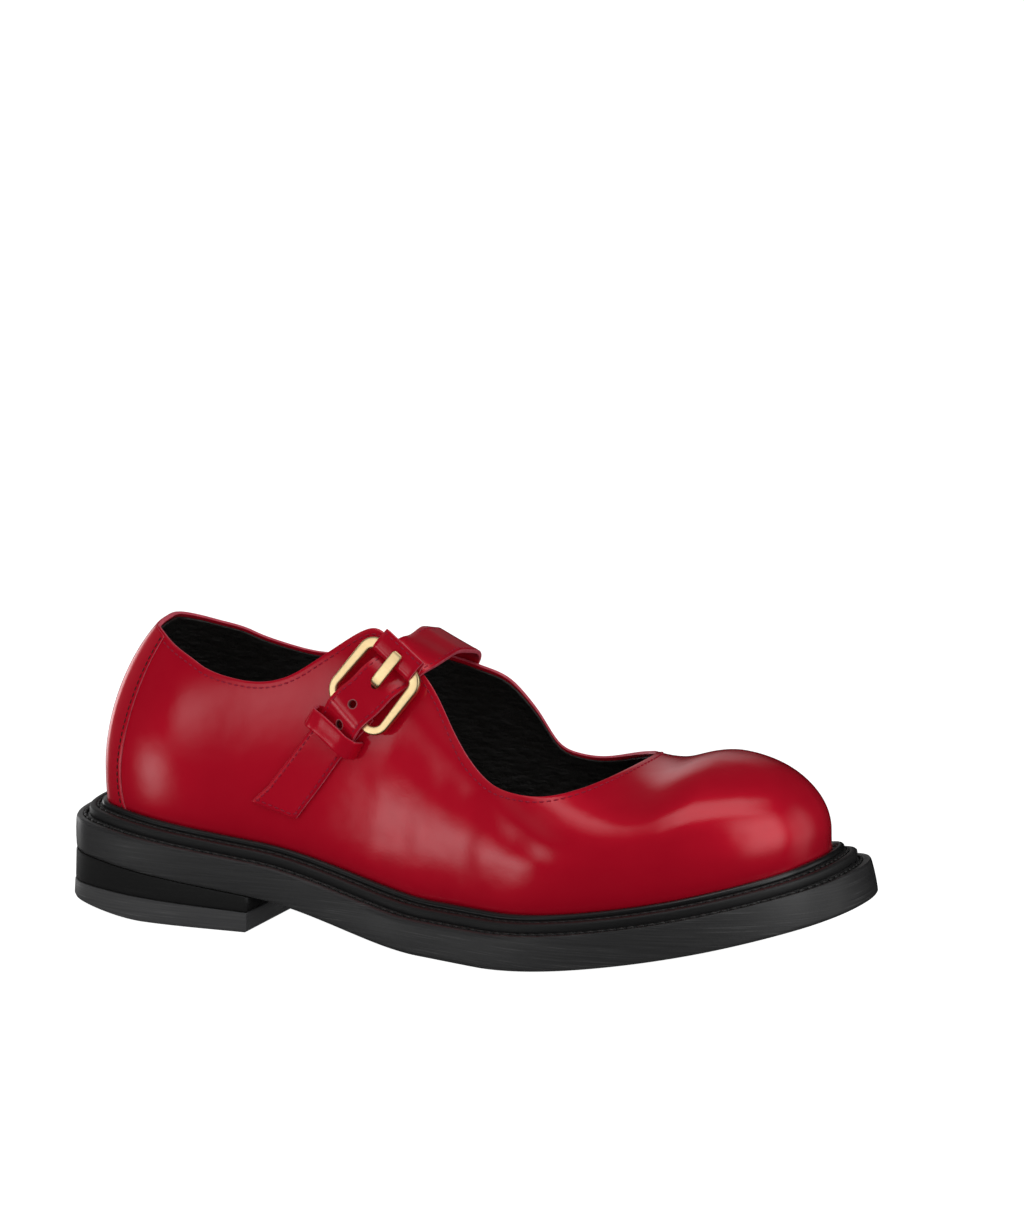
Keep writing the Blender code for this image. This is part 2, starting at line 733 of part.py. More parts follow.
def tube(name, points, radius, cyclic, finish, sides=2):
    """A round bar along a path, as a welded mesh."""
    curve = bpy.data.curves.new(name, "CURVE")
    curve.dimensions = "3D"
    line = curve.splines.new("POLY")
    line.points.add(len(points) - 1)
    for spot, point in zip(line.points, points):
        spot.co = (*[float(c) * MM for c in point], 1.0)
    line.use_cyclic_u = cyclic
    curve.bevel_depth = radius * MM
    curve.bevel_resolution = sides
    curve.use_fill_caps = not cyclic
    curve.twist_mode = "MINIMUM"
    holder = bpy.data.objects.new(name + "_path", curve)
    bpy.context.scene.collection.objects.link(holder)
    graph = bpy.context.evaluated_depsgraph_get()
    mesh = bpy.data.meshes.new_from_object(holder.evaluated_get(graph))
    bpy.data.objects.remove(holder)
    bpy.data.curves.remove(curve)
    work = bmesh.new()
    work.from_mesh(mesh)
    bmesh.ops.remove_doubles(work, verts=work.verts, dist=1e-6)
    work.to_mesh(mesh)
    work.free()
    mesh.name = name
    mesh.shade_smooth()
    mesh.set_sharp_from_angle(angle=math.radians(50.0))
    return place(mesh, name, finish)


def rounded_rectangle(length, width, corner, arc_points=5):
    """Corners of a rounded rectangle about the origin, as (along, across)."""
    points = []
    for sign_x, sign_y, start in ((1, 1, 0.0), (-1, 1, 90.0), (-1, -1, 180.0), (1, -1, 270.0)):
        centre = (sign_x * (length / 2.0 - corner), sign_y * (width / 2.0 - corner))
        for k in range(arc_points):
            angle = math.radians(start + 90.0 * k / (arc_points - 1))
            points.append((centre[0] + corner * math.cos(angle), centre[1] + corner * math.sin(angle)))
    return points


def make_buckle(finish):
    bar = FRAME_BAR / 2.0
    path = rounded_rectangle(FRAME_LENGTH - FRAME_BAR, FRAME_WIDTH - FRAME_BAR, FRAME_CORNER - bar)
    points = [BUCKLE.at(a + FRAME_SHIFT[0], b + FRAME_SHIFT[1], BUCKLE_LIFT) for a, b in path]
    thing = tube("buckle_frame", points, bar, True, finish)
    for vertex in thing.data.vertices:
        place_now = np.array(vertex.co) / MM
        height = float((place_now - BUCKLE.base) @ BUCKLE.up) - BUCKLE_LIFT
        vertex.co = [float(c) * MM for c in place_now - BUCKLE.up * height * (1.0 - FRAME_FLATNESS)]


def box_between(name, stations, width, thickness, finish, bevel=0.4):
    """A flat bar through stations of (down, across, lift of its underside) on the buckle's axes."""
    grid = []
    for down, across, lift in stations:
        sides = (across - width / 2.0, across + width / 2.0)
        grid.append([BUCKLE.at(down, side, lift) for side in sides])
    thing = place(grid_mesh(name, np.array(grid)), name, finish)
    wall = thing.modifiers.new("thickness", "SOLIDIFY")
    wall.thickness = thickness * MM
    wall.offset = 1.0
    if bevel:
        edge = thing.modifiers.new("edges", "BEVEL")
        edge.width = bevel * MM
        edge.segments = 1
        edge.limit_method = "ANGLE"
        edge.angle_limit = math.radians(50.0)
    return thing


def fold_path():
    """Middle line of the leather tab round the frame's upper bar, as (down, lift)."""
    bar_at = -(FRAME_LENGTH - FRAME_BAR) / 2.0 + FRAME_SHIFT[0]
    half_ply = TAB_THICKNESS / 2.0
    wide = FRAME_BAR / 2.0 + GAP + half_ply + TAB_SLACK[0]
    high = FRAME_FLATNESS * FRAME_BAR / 2.0 + GAP + half_ply + TAB_SLACK[1]
    meet, end = TAB_PLIES
    ply = half_ply + GAP / 2.0
    parting = ply + GAP / 1.5
    points = [(bar_at - end, BUCKLE_LIFT - ply), (bar_at - meet, BUCKLE_LIFT - parting),
              (bar_at - TAB_LEAVES, BUCKLE_LIFT - high)]
    for k in range(7):
        angle = math.radians(-90.0 + 30.0 * k)
        points.append((bar_at + wide * math.cos(angle), BUCKLE_LIFT + high * math.sin(angle)))
    points += [(bar_at - TAB_LEAVES, BUCKLE_LIFT + high), (bar_at - meet, BUCKLE_LIFT + parting),
               (bar_at - end, BUCKLE_LIFT + ply)]
    return points


def make_tab(finish):
    path = fold_path()
    half = TAB_WIDTH / 2.0
    grid = [[BUCKLE.at(a, FRAME_SHIFT[1] + s * half, b) for s in (1, -1)] for a, b in path]
    thing = place(grid_mesh("buckle_tab", np.array(grid)), "buckle_tab", finish)
    wall = thing.modifiers.new("thickness", "SOLIDIFY")
    wall.thickness = TAB_THICKNESS * MM
    wall.offset = 0.0
    return thing


def make_prong(finish):
    tip = -FRAME_LENGTH / 2.0 + FRAME_SHIFT[0] - PRONG_OVERHANG
    on_tab = BUCKLE_LIFT + FRAME_FLATNESS * FRAME_BAR / 2.0 + TAB_THICKNESS + 2.0 * GAP + PRONG_SPARE
    stations = [
        (tip, PRONG_SHIFT, on_tab),
        (tip + PRONG_OVER_BAR, PRONG_SHIFT, on_tab),
        (PRONG_FOOT[0], PRONG_SHIFT, PRONG_ON_STRAP),
        (PRONG_FOOT[1], PRONG_SHIFT, PRONG_ON_STRAP),
    ]
    return box_between("buckle_prong", stations, PRONG_WIDTH, PRONG_THICKNESS, finish)


# ================================================================ the shoe
for old in list(bpy.data.objects):
    bpy.data.objects.remove(old)

SHOE = bpy.data.collections.new("mary_jane_shoe")
bpy.context.scene.collection.children.link(SHOE)

black_rubber = material("black_rubber", (0.012, 0.012, 0.013), 0.45)
heel_rubber = material("heel_rubber", (0.02, 0.02, 0.021), 0.7)
red_leather = material("red_leather", (0.36, 0.004, 0.018), 0.28)
tan_board = material("insole_leather", (0.03, 0.026, 0.024), 0.6)
gold_metal = material("gold_metal", (0.78, 0.55, 0.26), 0.3, metallic=1.0)

make_outsole(black_rubber)
make_heel_block(heel_rubber)
make_heel_top_piece(heel_rubber)
make_welt(black_rubber)
make_storm_rand(black_rubber)
make_insole(tan_board)
make_upper(red_leather)
make_band("strap", STRAP_STATIONS, STRAP_WIDTH, STRAP_THICKNESS, 46, red_leather)
make_band("buckle_strip", STRIP_STATIONS, STRIP_WIDTH, STRIP_THICKNESS, 16, red_leather,
          trim=STRIP_TRIM, skew=STRIP_SKEW)
make_buckle(gold_metal)
make_prong(gold_metal)
make_tab(red_leather)
make_band("keeper_loop", KEEPER_STATIONS, KEEPER_WIDTH, KEEPER_THICKNESS, 26, red_leather)
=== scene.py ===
# %% [markdown]
# A woman's right Mary Jane shoe in polished red leather.  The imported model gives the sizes; this
# lesson dresses it: the leather is rebuilt as a smooth skin over the last, then edged, lined,
# strapped, stitched and lit.  Lengths are in millimetres on the shoe's own axes until a mesh is
# made: x from the heel's back to the toe, y to the inner side of the foot, z up from the floor.

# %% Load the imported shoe
import json
import math

import bmesh
import bpy
import numpy as np
from mathutils.bvhtree import BVHTree
from mathutils import Matrix, Vector

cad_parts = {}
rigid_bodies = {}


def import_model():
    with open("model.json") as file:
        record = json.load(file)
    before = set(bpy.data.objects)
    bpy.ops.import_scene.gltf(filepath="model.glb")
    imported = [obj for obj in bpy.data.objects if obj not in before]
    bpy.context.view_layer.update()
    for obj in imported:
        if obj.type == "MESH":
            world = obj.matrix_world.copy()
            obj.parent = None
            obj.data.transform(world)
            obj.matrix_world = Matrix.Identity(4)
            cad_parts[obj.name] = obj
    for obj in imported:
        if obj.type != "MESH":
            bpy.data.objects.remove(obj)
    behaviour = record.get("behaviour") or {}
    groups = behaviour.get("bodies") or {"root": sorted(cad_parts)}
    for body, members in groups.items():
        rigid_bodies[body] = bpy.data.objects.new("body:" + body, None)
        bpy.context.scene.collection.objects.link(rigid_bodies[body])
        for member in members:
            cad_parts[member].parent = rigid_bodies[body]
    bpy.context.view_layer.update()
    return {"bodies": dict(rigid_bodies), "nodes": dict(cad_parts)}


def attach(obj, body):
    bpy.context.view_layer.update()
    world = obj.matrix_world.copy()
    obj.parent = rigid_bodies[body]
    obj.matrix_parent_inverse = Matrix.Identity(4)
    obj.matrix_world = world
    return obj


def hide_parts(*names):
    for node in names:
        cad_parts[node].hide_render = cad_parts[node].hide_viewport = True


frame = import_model()
MM = 0.001
FOOTPRINT_SHIFT = 3.1                    # the footprint's middle lies this far to the outer side
print("nodes:", sorted(frame["nodes"]))

# %% [markdown]
# The camera stands to the front right of the shoe with a long lens, as in a shop picture: it
# looks from the outer side, a little from the toe and a little from above.  It is placed from a
# distance and two angles round a point under the arch, then aimed a little off that point, so
# that the shoe sits low and left in the frame and needs no lens shift.

# %% Camera
SOLE_LENGTH = 272.0
VIEW_ROUND = math.radians(22.4)          # round the shoe from its outer side towards the toe
VIEW_ABOVE = math.radians(13.54)
VIEW_DISTANCE = 1.838                    # metres
AIM_ROUND, AIM_BELOW = math.radians(21.985), math.radians(10.40)
LENS, SENSOR = 164.9, 36.0
aim_point = Vector((0.0, FOOTPRINT_SHIFT * MM, 0.0))


def direction(turn, rise):
    """Unit vector from the aim point out to a place seen at a turn and a rise."""
    return Vector((math.sin(turn) * math.cos(rise), -math.cos(turn) * math.cos(rise), math.sin(rise)))


def stand(thing, aim, turn, rise, distance):
    """Put a camera or a lamp at a turn, a rise and a distance from a point, facing it."""
    bpy.context.scene.collection.objects.link(thing)
    out = direction(turn, rise)
    thing.location = aim + out * distance
    thing.rotation_euler = out.to_track_quat("Z", "Y").to_euler()


camera_data = bpy.data.cameras.new("shop_camera")
camera_data.lens, camera_data.sensor_width = LENS, SENSOR
camera_data.clip_start, camera_data.clip_end = 0.1, 60.0
camera = bpy.data.objects.new("shop_camera", camera_data)
stand(camera, aim_point, VIEW_ROUND, VIEW_ABOVE, VIEW_DISTANCE)
camera.rotation_euler = direction(AIM_ROUND, AIM_BELOW).to_track_quat("Z", "Y").to_euler()
bpy.context.scene.camera = camera
print("camera at", [round(c, 3) for c in camera.location])

# %% [markdown]
# Everything on the upper follows one surface, the last: the wooden foot that a shoe is built
# round.  It could be sculpted, but then each seam, stitch row and strap would have to be
# projected on a mesh.  Here it is a function that gives each of them its own exact points, and a
# natural cubic spline reads its short tables of measurements.

# %% Smooth curves through short tables
def spline(xs, ys):
    """Natural cubic spline through a short table, flat beyond its ends."""
    xs, ys = np.asarray(xs, float), np.asarray(ys, float)
    count, step = len(xs), np.diff(xs)
    rows, right = np.eye(count), np.zeros(count)
    for i in range(1, count - 1):
        rows[i, i - 1:i + 2] = step[i - 1], 2.0 * (step[i - 1] + step[i]), step[i]
        right[i] = 6.0 * ((ys[i + 1] - ys[i]) / step[i] - (ys[i] - ys[i - 1]) / step[i - 1])
    bend = np.linalg.solve(rows, right)

    def value(x):
        x = np.clip(np.asarray(x, float), xs[0], xs[-1])
        i = np.clip(np.searchsorted(xs, x) - 1, 0, count - 2)
        before, after, span = xs[i + 1] - x, x - xs[i], step[i]
        curve = (bend[i] * before**3 + bend[i + 1] * after**3) / (6.0 * span)
        left_line = (ys[i] / span - bend[i] * span / 6.0) * before
        return curve + left_line + (ys[i + 1] / span - bend[i + 1] * span / 6.0) * after

    return value


def read_spline(rows, base, places):
    """Every column of a table read on splines, at places along its base."""
    return np.stack([spline(base, column)(places) for column in rows.T], axis=1)


def read_line(rows, base, places):
    """The same on straight lines from row to row."""
    return np.stack([np.interp(places, base, column) for column in rows.T], axis=1)


def run_length(points):
    """How far along a line of points each of them is."""
    return np.concatenate([[0.0], np.cumsum(np.linalg.norm(np.diff(points, axis=0), axis=1))])


def unit(rows):
    return rows / np.linalg.norm(rows, axis=1)[:, None]


def open_curve(rows, count):
    """Evenly spaced rows on a spline through a table whose first two columns are a place."""
    rows = np.asarray(rows, float)
    chord = run_length(rows[:, :2])
    return read_spline(rows, chord, np.linspace(0.0, chord[-1], count))


# %% [markdown]
# The sole's outline could be drawn as a free curve, but a maker measures a sole by its widths.
# So it is two half-widths read against the turn round an ellipse, which closes the heel and toe
# roundly.  Its underside has the heel seat, the arch, a flat tread and the toe spring.

# %% Outline and profile of the sole
SLAB_THICKNESS = 11.3
SOLE_STATIONS = (
    # x, outer half-width, inner half-width
    (4.0, 22.3, 20.5), (14.0, 30.8, 30.3), (35.0, 37.2, 37.6), (73.0, 38.3, 38.9),
    (110.0, 40.8, 40.2), (145.0, 50.2, 45.8), (175.0, 58.0, 50.9), (205.0, 57.7, 51.8),
    (235.0, 50.2, 46.5), (256.0, 37.2, 35.5), (268.0, 22.0, 20.5),
)
SEAT_BACK, SEAT_BREAST, HEEL_LENGTH = 19.6, 11.8, 73.0
TREAD_FROM, TREAD_TO, TOE_SPRING = 136.0, 160.0, 19.6
TOE_FLARE, FLARE_FROM = 2.6, 120.0


def sole_turn(x):
    return np.arccos(np.clip(1.0 - 2.0 * np.asarray(x, float) / SOLE_LENGTH, -1.0, 1.0))


def sole_side(column):
    table = np.array(SOLE_STATIONS)
    turn, width = sole_turn(table[:, 0]), table[:, column]
    angles = np.concatenate([-turn[2::-1], [0.0], turn, [math.pi], 2.0 * math.pi - turn[:-4:-1]])
    values = np.concatenate([-width[2::-1], [0.0], width, [0.0], -width[:-4:-1]])
    return spline(angles, values)


OUTER_SIDE, INNER_SIDE = sole_side(1), sole_side(2)


def outline_at(turn):
    """Places on the sole's edge at turns from the heel, below zero on the outer side."""
    size = np.abs(turn)
    y = np.where(turn < 0.0, -OUTER_SIDE(size), INNER_SIDE(size))
    return np.stack([SOLE_LENGTH * (1.0 - np.cos(turn)) / 2.0, y], axis=1)


def sole_outline(count):
    turn = 2.0 * math.pi * np.arange(count) / count
    return outline_at(np.where(turn <= math.pi, -turn, 2.0 * math.pi - turn))


def inset(outline, distance):
    along = unit(np.roll(outline, -1, axis=0) - np.roll(outline, 1, axis=0))
    return outline + np.stack([-along[:, 1], along[:, 0]], axis=1) * distance


def slab_top_outline(count):
    outline = sole_outline(count)
    middle = np.array([SOLE_LENGTH / 2.0, 0.0])
    share = np.clip((outline[:, 0] - FLARE_FROM) / FLARE_FROM, 0.0, 1.0)
    return outline - (outline - middle) * (share * TOE_FLARE / middle[0])[:, None]


def underside(x):
    x = np.asarray(x, float)
    fall = (SEAT_BREAST - SEAT_BACK) / HEEL_LENGTH
    reach = TREAD_FROM - HEEL_LENGTH
    t = np.clip((x - HEEL_LENGTH) / reach, 0.0, 1.0)
    arch = (SEAT_BREAST * (1.0 + 2.0 * t) + fall * reach * t) * (1.0 - t) ** 2
    front = TOE_SPRING * np.clip((x - TREAD_TO) / (SOLE_LENGTH - TREAD_TO), 0.0, 1.0) ** 1.5
    return np.where(x > TREAD_TO, front, np.where(x > HEEL_LENGTH, arch, SEAT_BACK + fall * x))


def slab_top(x):
    return underside(x) + SLAB_THICKNESS


def even_ring(outline, count):
    """The outline again with its points evenly spaced."""
    loop = np.vstack([outline, outline[:1]])
    length = run_length(loop)
    return read_line(loop, length, np.linspace(0.0, length[-1], count, endpoint=False))


print("sole width at the ball:", round(float(np.ptp(sole_outline(400)[:, 1])), 1), "mm")

# %% [markdown]
# A pattern point is a place on the flat leather: along the shoe, and across it from the top
# line.  The last bends it round an arch above the widest line and tucks it in below.  The two
# ends of the pattern are half circles, so the heel and the toe close without a pole of
# triangles where the eye would see it.  Soft troughs and swells are added at the end,
# because real leather is never as even as a formula.

# %% The last as a surface
SPINE_HEEL, SPINE_TOE, PATTERN_RADIUS = 48.0, 224.0, 40.0
SHOULDER, TUCK = 0.8, math.radians(70.0)
UPPER_INSET, FEATHER_LIFT = 11.3, 3.8
RIDGE_STATIONS = (
    # along, height of the top line
    (48.0, 106.0), (75.0, 111.5), (105.0, 117.0), (125.0, 105.5), (150.0, 88.0),
    (175.0, 69.5), (192.0, 61.6), (208.0, 60.5), (216.0, 62.85), (224.0, 64.0), (232.0, 63.2),
)
SIDE_STATIONS = (
    # x, swell outer, swell inner, widest, fullness outer, fullness inner
    (0.0, 0.6, 0.6, 11.4, 1.70, 1.70),
    (30.0, 1.1, 1.8, 14.9, 1.90, 2.05),
    (75.0, 1.4, 1.5, 16.9, 2.15, 2.25),
    (110.0, 1.5, 1.0, 17.4, 2.20, 2.20),
    (150.0, 1.5, 1.0, 16.4, 2.10, 2.10),
    (185.0, 2.0, 1.4, 14.4, 2.10, 2.00),
    (215.0, 2.3, 0.3, 12.4, 2.10, 2.25),
    (245.0, 1.4, -2.0, 9.9, 2.10, 2.10),
    (272.0, -0.8, -0.8, 8.4, 1.95, 1.95),
)
LEAN_FROM, LEAN_WIDTH = -5.0, 24.0       # where the outer side's shape passes into the inner side's
ROUND_TOP = 0.3                          # share of the pattern's radius over which the top stays round
SLOPE_STEP = 0.4                         # how far apart two points are taken to find a slope
SOFT_FOLDS = (
    # along, across, half-length, half-width, turn in degrees, height (below zero is a trough)
    (150.0, -31.0, 16.0, 5.0, 62.0, -0.35),
    (132.0, -33.0, 14.0, 5.0, 70.0, 0.30),
    (170.0, -27.0, 15.0, 4.5, 40.0, -0.25),
    (120.0, -24.0, 12.0, 4.0, 55.0, -0.22),
    (60.0, -27.0, 16.0, 6.0, 10.0, -0.25),
    (76.0, 26.0, 16.0, 6.0, 0.0, -0.30),
    (150.0, 31.0, 14.0, 5.0, -60.0, -0.35),
    (170.0, 28.0, 14.0, 4.5, -42.0, -0.25),
)


def smooth_step(share):
    share = np.clip(share, 0.0, 1.0)
    return share * share * (3.0 - 2.0 * share)


def from_spine(places):
    """The nearest places on the spine, the way out from them and its turn round the pattern."""
    spine = np.clip(places[:, 0], SPINE_HEEL, SPINE_TOE)
    reach = places - np.column_stack([spine, np.zeros(len(spine))])
    angle = np.abs(np.arctan2(reach[:, 1], reach[:, 0]))
    key = math.pi / 2.0 + (spine - SPINE_HEEL) / PATTERN_RADIUS
    key = np.where(spine <= SPINE_HEEL, math.pi - angle, key)
    key = np.where(spine >= SPINE_TOE, math.pi + (SPINE_TOE - SPINE_HEEL) / PATTERN_RADIUS - angle, key)
    return spine, reach, np.where(reach[:, 1] < 0.0, -key, key)


class Last:
    def __init__(self):
        edge = inset(slab_top_outline(480), UPPER_INSET)
        _, reach, key = from_spine(edge)
        order = np.argsort(key)
        edge, self.key = edge[order], key[order]
        self.reach = np.linalg.norm(reach, axis=1)[order]
        self.ridge = spline(*np.array(RIDGE_STATIONS).T)
        table = np.array(SIDE_STATIONS)
        stations, turn = sole_turn(table[:, 0]), sole_turn(edge[:, 0])
        lean = smooth_step((edge[:, 1] - LEAN_FROM) / LEAN_WIDTH)

        def side(on_outer, on_inner):
            return ((1.0 - lean) * spline(stations, table[:, on_outer])(turn)
                    + lean * spline(stations, table[:, on_inner])(turn))

        self.swell, self.widest, self.fullness = side(1, 2), side(3, 3), side(4, 5)
        self.foot = slab_top(edge[:, 0]) + FEATHER_LIFT

    def plain(self, pattern):
        """Points on the bare last, without its folds."""
        spine, reach, key = from_spine(np.atleast_2d(np.asarray(pattern, float)))
        distance = np.linalg.norm(reach, axis=1)
        share, way = distance / PATTERN_RADIUS, reach / np.maximum(distance, 1e-9)[:, None]
        foot_reach, swell, widest, foot = (
            np.interp(key, self.key, table) for table in (self.reach, self.swell, self.widest, self.foot))
        power = 2.0 / np.interp(key, self.key, self.fullness)
        power = 1.0 + (power - 1.0) * smooth_step(share / ROUND_TOP)
        waist = foot + widest
        arch = 0.5 * math.pi * np.clip(share / SHOULDER, 0.0, 1.0)
        tuck = TUCK * np.clip((share - SHOULDER) / (1.0 - SHOULDER), 0.0, 1.2)
        over = (foot_reach + swell) * np.maximum(np.sin(arch), 1e-9) ** power
        rise = waist + (self.ridge(spine) - waist) * np.maximum(np.cos(arch), 1e-9) ** power
        under = foot_reach + swell * (np.cos(tuck) - math.cos(TUCK)) / (1.0 - math.cos(TUCK))
        drop = waist - widest * np.sin(tuck) / math.sin(TUCK)
        above = share <= SHOULDER
        out = np.where(above, over, under)
        return np.column_stack([spine + way[:, 0] * out, way[:, 1] * out, np.where(above, rise, drop)])

    def slopes(self, pattern):
        """How a point moves for each millimetre along the pattern, and for each across it."""
        pattern = np.atleast_2d(np.asarray(pattern, float))
        return [(self.plain(pattern + step) - self.plain(pattern - step)) / (2.0 * SLOPE_STEP)
                for step in SLOPE_STEP * np.eye(2)]

    def plain_normal(self, pattern):
        return unit(np.cross(*self.slopes(pattern)))

    def fold_height(self, pattern):
        height = np.zeros(len(pattern))
        for along, across, length, width, turn, rise in SOFT_FOLDS:
            c, s = math.cos(math.radians(turn)), math.sin(math.radians(turn))
            dx, dy = pattern[:, 0] - along, pattern[:, 1] - across
            height += rise * np.exp(-((dx * c + dy * s) / length) ** 2 - ((dy * c - dx * s) / width) ** 2)
        return height

    def point(self, pattern, lift=0.0):
        """Points on the leather's face, or lifted off it along the last's normal."""
        pattern = np.atleast_2d(np.asarray(pattern, float))
        height = self.fold_height(pattern) + lift
        return self.plain(pattern) + self.plain_normal(pattern) * np.asarray(height)[:, None]


LAST = Last()
print("top of the toe:", LAST.point([(224.0, 0.0)])[0].round(1), "mm")

# %% [markdown]
# A material here is a Principled shader fed by a few noises.  The helper below keeps each recipe
# short: it makes nodes by type, sets their sockets by name and joins them.  Numbers that never
# change over a surface, such as a coat's roughness, are set on the shader itself.

# %% A small helper for node trees
class Recipe:
    """A node tree with short ways to add and join nodes."""

    def __init__(self, tree):
        self.tree = tree

    def add(self, kind, settings=None, **sockets):
        node = self.tree.nodes.new(kind)
        for name, value in (settings or {}).items():
            setattr(node, name, value)
        return self.put(node, **sockets)

    def put(self, node, **sockets):
        for name, value in sockets.items():
            self.feed(node.inputs[name.replace("_", " ")], value)
        return node

    def feed(self, socket, value):
        """Join a socket to another node, or set it; a colour comes without its alpha."""
        if isinstance(value, bpy.types.NodeSocket):
            self.tree.links.new(value, socket)
        else:
            socket.default_value = (*value, 1.0) if socket.type == "RGBA" else value

    def math(self, operation, first, second=0.0, clamp=False):
        node = self.add("ShaderNodeMath", {"operation": operation, "use_clamp": clamp})
        for socket, value in zip(node.inputs, (first, second)):
            self.feed(socket, value)
        return node.outputs[0]

    def noise(self, vector, scale, detail=3.0, roughness=0.5):
        return self.add("ShaderNodeTexNoise", Vector=vector, Scale=scale, Detail=detail,
                        Roughness=roughness).outputs["Fac"]

    def stretch(self, vector, *scale):
        return self.add("ShaderNodeMapping", Vector=vector, Scale=scale).outputs["Vector"]

    def span(self, value, low, high, to_low, to_high, **settings):
        """A value moved from one range to another."""
        return self.add("ShaderNodeMapRange", settings, Value=value, From_Min=low, From_Max=high,
                        To_Min=to_low, To_Max=to_high).outputs["Result"]

    def mix(self, share, first, second):
        node = self.add("ShaderNodeMix", {"data_type": "RGBA"}, Factor=share)
        self.feed(node.inputs[6], first)
        self.feed(node.inputs[7], second)
        return node.outputs[2]

    def effect(self, name, **sockets):
        """A group node of a shared effect, with this material's own values."""
        return self.add("ShaderNodeGroup", {"node_tree": EFFECTS[name]}, **sockets).outputs

    def bump(self, height, distance, below=None, strength=1.0):
        """A relief of a height in metres, laid over another one."""
        over = {} if below is None else {"Normal": below}
        return self.add("ShaderNodeBump", Height=height, Distance=distance, Strength=strength,
                        **over).outputs["Normal"]


def new_finish(name, **fixed):
    """A material, its recipe, its shader and the place on the surface."""
    made = bpy.data.materials.new(name)
    made.use_nodes = True
    recipe = Recipe(made.node_tree)
    shader = made.node_tree.nodes["Principled BSDF"]
    recipe.put(shader, **fixed)
    place = recipe.add("ShaderNodeTexCoord").outputs["Object"]
    return made, recipe, shader, place


# %% [markdown]
# Three effects turn up in several materials, so each is a node group that is built once: the
# mottling of any dyed or painted surface, the grain and pores of leather, and the fine lines
# that a trimming wheel leaves on rubber.  Every material sets its own values on its group node.

# %% Effects shared by several materials
CLOUD = (0.3, 0.7)                       # what a soft noise spans


def effect_group(name, inputs, outputs):
    """An empty node group with named sockets, its recipe, its input sockets and its end node."""
    tree = bpy.data.node_groups.new(name, "ShaderNodeTree")
    for socket, value in {"Vector": None, **inputs}.items():
        kind = "Vector" if value is None else "Color" if isinstance(value, tuple) else "Float"
        made = tree.interface.new_socket(socket, in_out="INPUT", socket_type="NodeSocket" + kind)
        if value is not None:
            made.default_value = (*value, 1.0) if kind == "Color" else value
    for socket in outputs:
        kind = "Color" if socket == "Color" else "Float"
        tree.interface.new_socket(socket, in_out="OUTPUT", socket_type="NodeSocket" + kind)
    recipe = Recipe(tree)
    return recipe, recipe.add("NodeGroupInput").outputs, recipe.add("NodeGroupOutput")


def mottling_effect():
    recipe, given, end = effect_group("mottling", {
        "Scale": 300.0, "Light Colour": (0.5, 0.5, 0.5), "Dark Colour": (0.3, 0.3, 0.3),
        "Rough Low": 0.4, "Rough High": 0.5}, ("Color", "Roughness", "Fine"))
    cloud = recipe.noise(given["Vector"], given["Scale"], 4.0)
    share = recipe.span(cloud, *CLOUD, 0.0, 1.0)
    finer = recipe.math("MULTIPLY", given["Scale"], 3.0)
    recipe.put(end, Color=recipe.mix(share, given["Light Colour"], given["Dark Colour"]),
               Roughness=recipe.span(cloud, *CLOUD, given["Rough Low"], given["Rough High"]),
               Fine=recipe.noise(given["Vector"], finer, 4.0))
    return recipe.tree


def grain_effect():
    recipe, given, end = effect_group("leather grain", {
        "Pore Scale": 1900.0, "Grain Scale": 1300.0, "Pore Share": 0.5}, ("Height",))
    pores = recipe.add("ShaderNodeTexVoronoi", {"feature": "F1"}, Vector=given["Vector"],
                       Scale=given["Pore Scale"])
    grain = recipe.noise(given["Vector"], given["Grain Scale"], 4.0, 0.6)
    pits = recipe.math("MULTIPLY", pores.outputs["Distance"], given["Pore Share"])
    recipe.put(end, Height=recipe.math("ADD", pits, grain))
    return recipe.tree


def wheel_effect():
    recipe, given, end = effect_group("wheel lines", {
        "Line Scale": 900.0, "Patch Scale": 45.0, "Amount": 0.5}, ("Lines", "Worn", "Patch"))
    along = recipe.stretch(given["Vector"], 0.045, 0.045, 3.2)
    lines = recipe.noise(along, given["Line Scale"], 5.0, 0.65)
    patch = recipe.noise(given["Vector"], given["Patch Scale"], 4.0)
    worn = recipe.math("MULTIPLY", recipe.span(lines, 0.58, 0.70, 0.0, 1.0),
                       recipe.span(patch, 0.42, 0.60, 0.0, 1.0))
    faint = recipe.span(lines, 0.40, 0.64, 0.0, 0.22)
    both = recipe.math("ADD", worn, faint, clamp=True)
    recipe.put(end, Lines=lines, Worn=recipe.math("MULTIPLY", both, given["Amount"]), Patch=patch)
    return recipe.tree


EFFECTS = {tree.name: tree for tree in (mottling_effect(), grain_effect(), wheel_effect())}
print("effects:", ", ".join(EFFECTS))

# %% [markdown]
# The red leather is a polished calf: deep red dye, a thin glossy dressing and very fine pores
# that only show where a light's edge is reflected.  Noise of four sizes makes it: the broadest
# shifts the red a little, the next one bends the surface softly, a middle one lets the gloss
# breathe, and the pores and the grain roughen the highlights' edges.  A coat carries the sharp
# reflection over the softer leather below.

# %% Red leather
RED, DARK_RED = (0.72, 0.0030, 0.026), (0.58, 0.0022, 0.020)
BROAD_SCALE, SOFT_SCALE, MIDDLE_SCALE, GRAIN_SCALE = 22.0, 55.0, 160.0, 1300.0
SOFT_RELIEF = 0.00022                    # metres, as every relief here


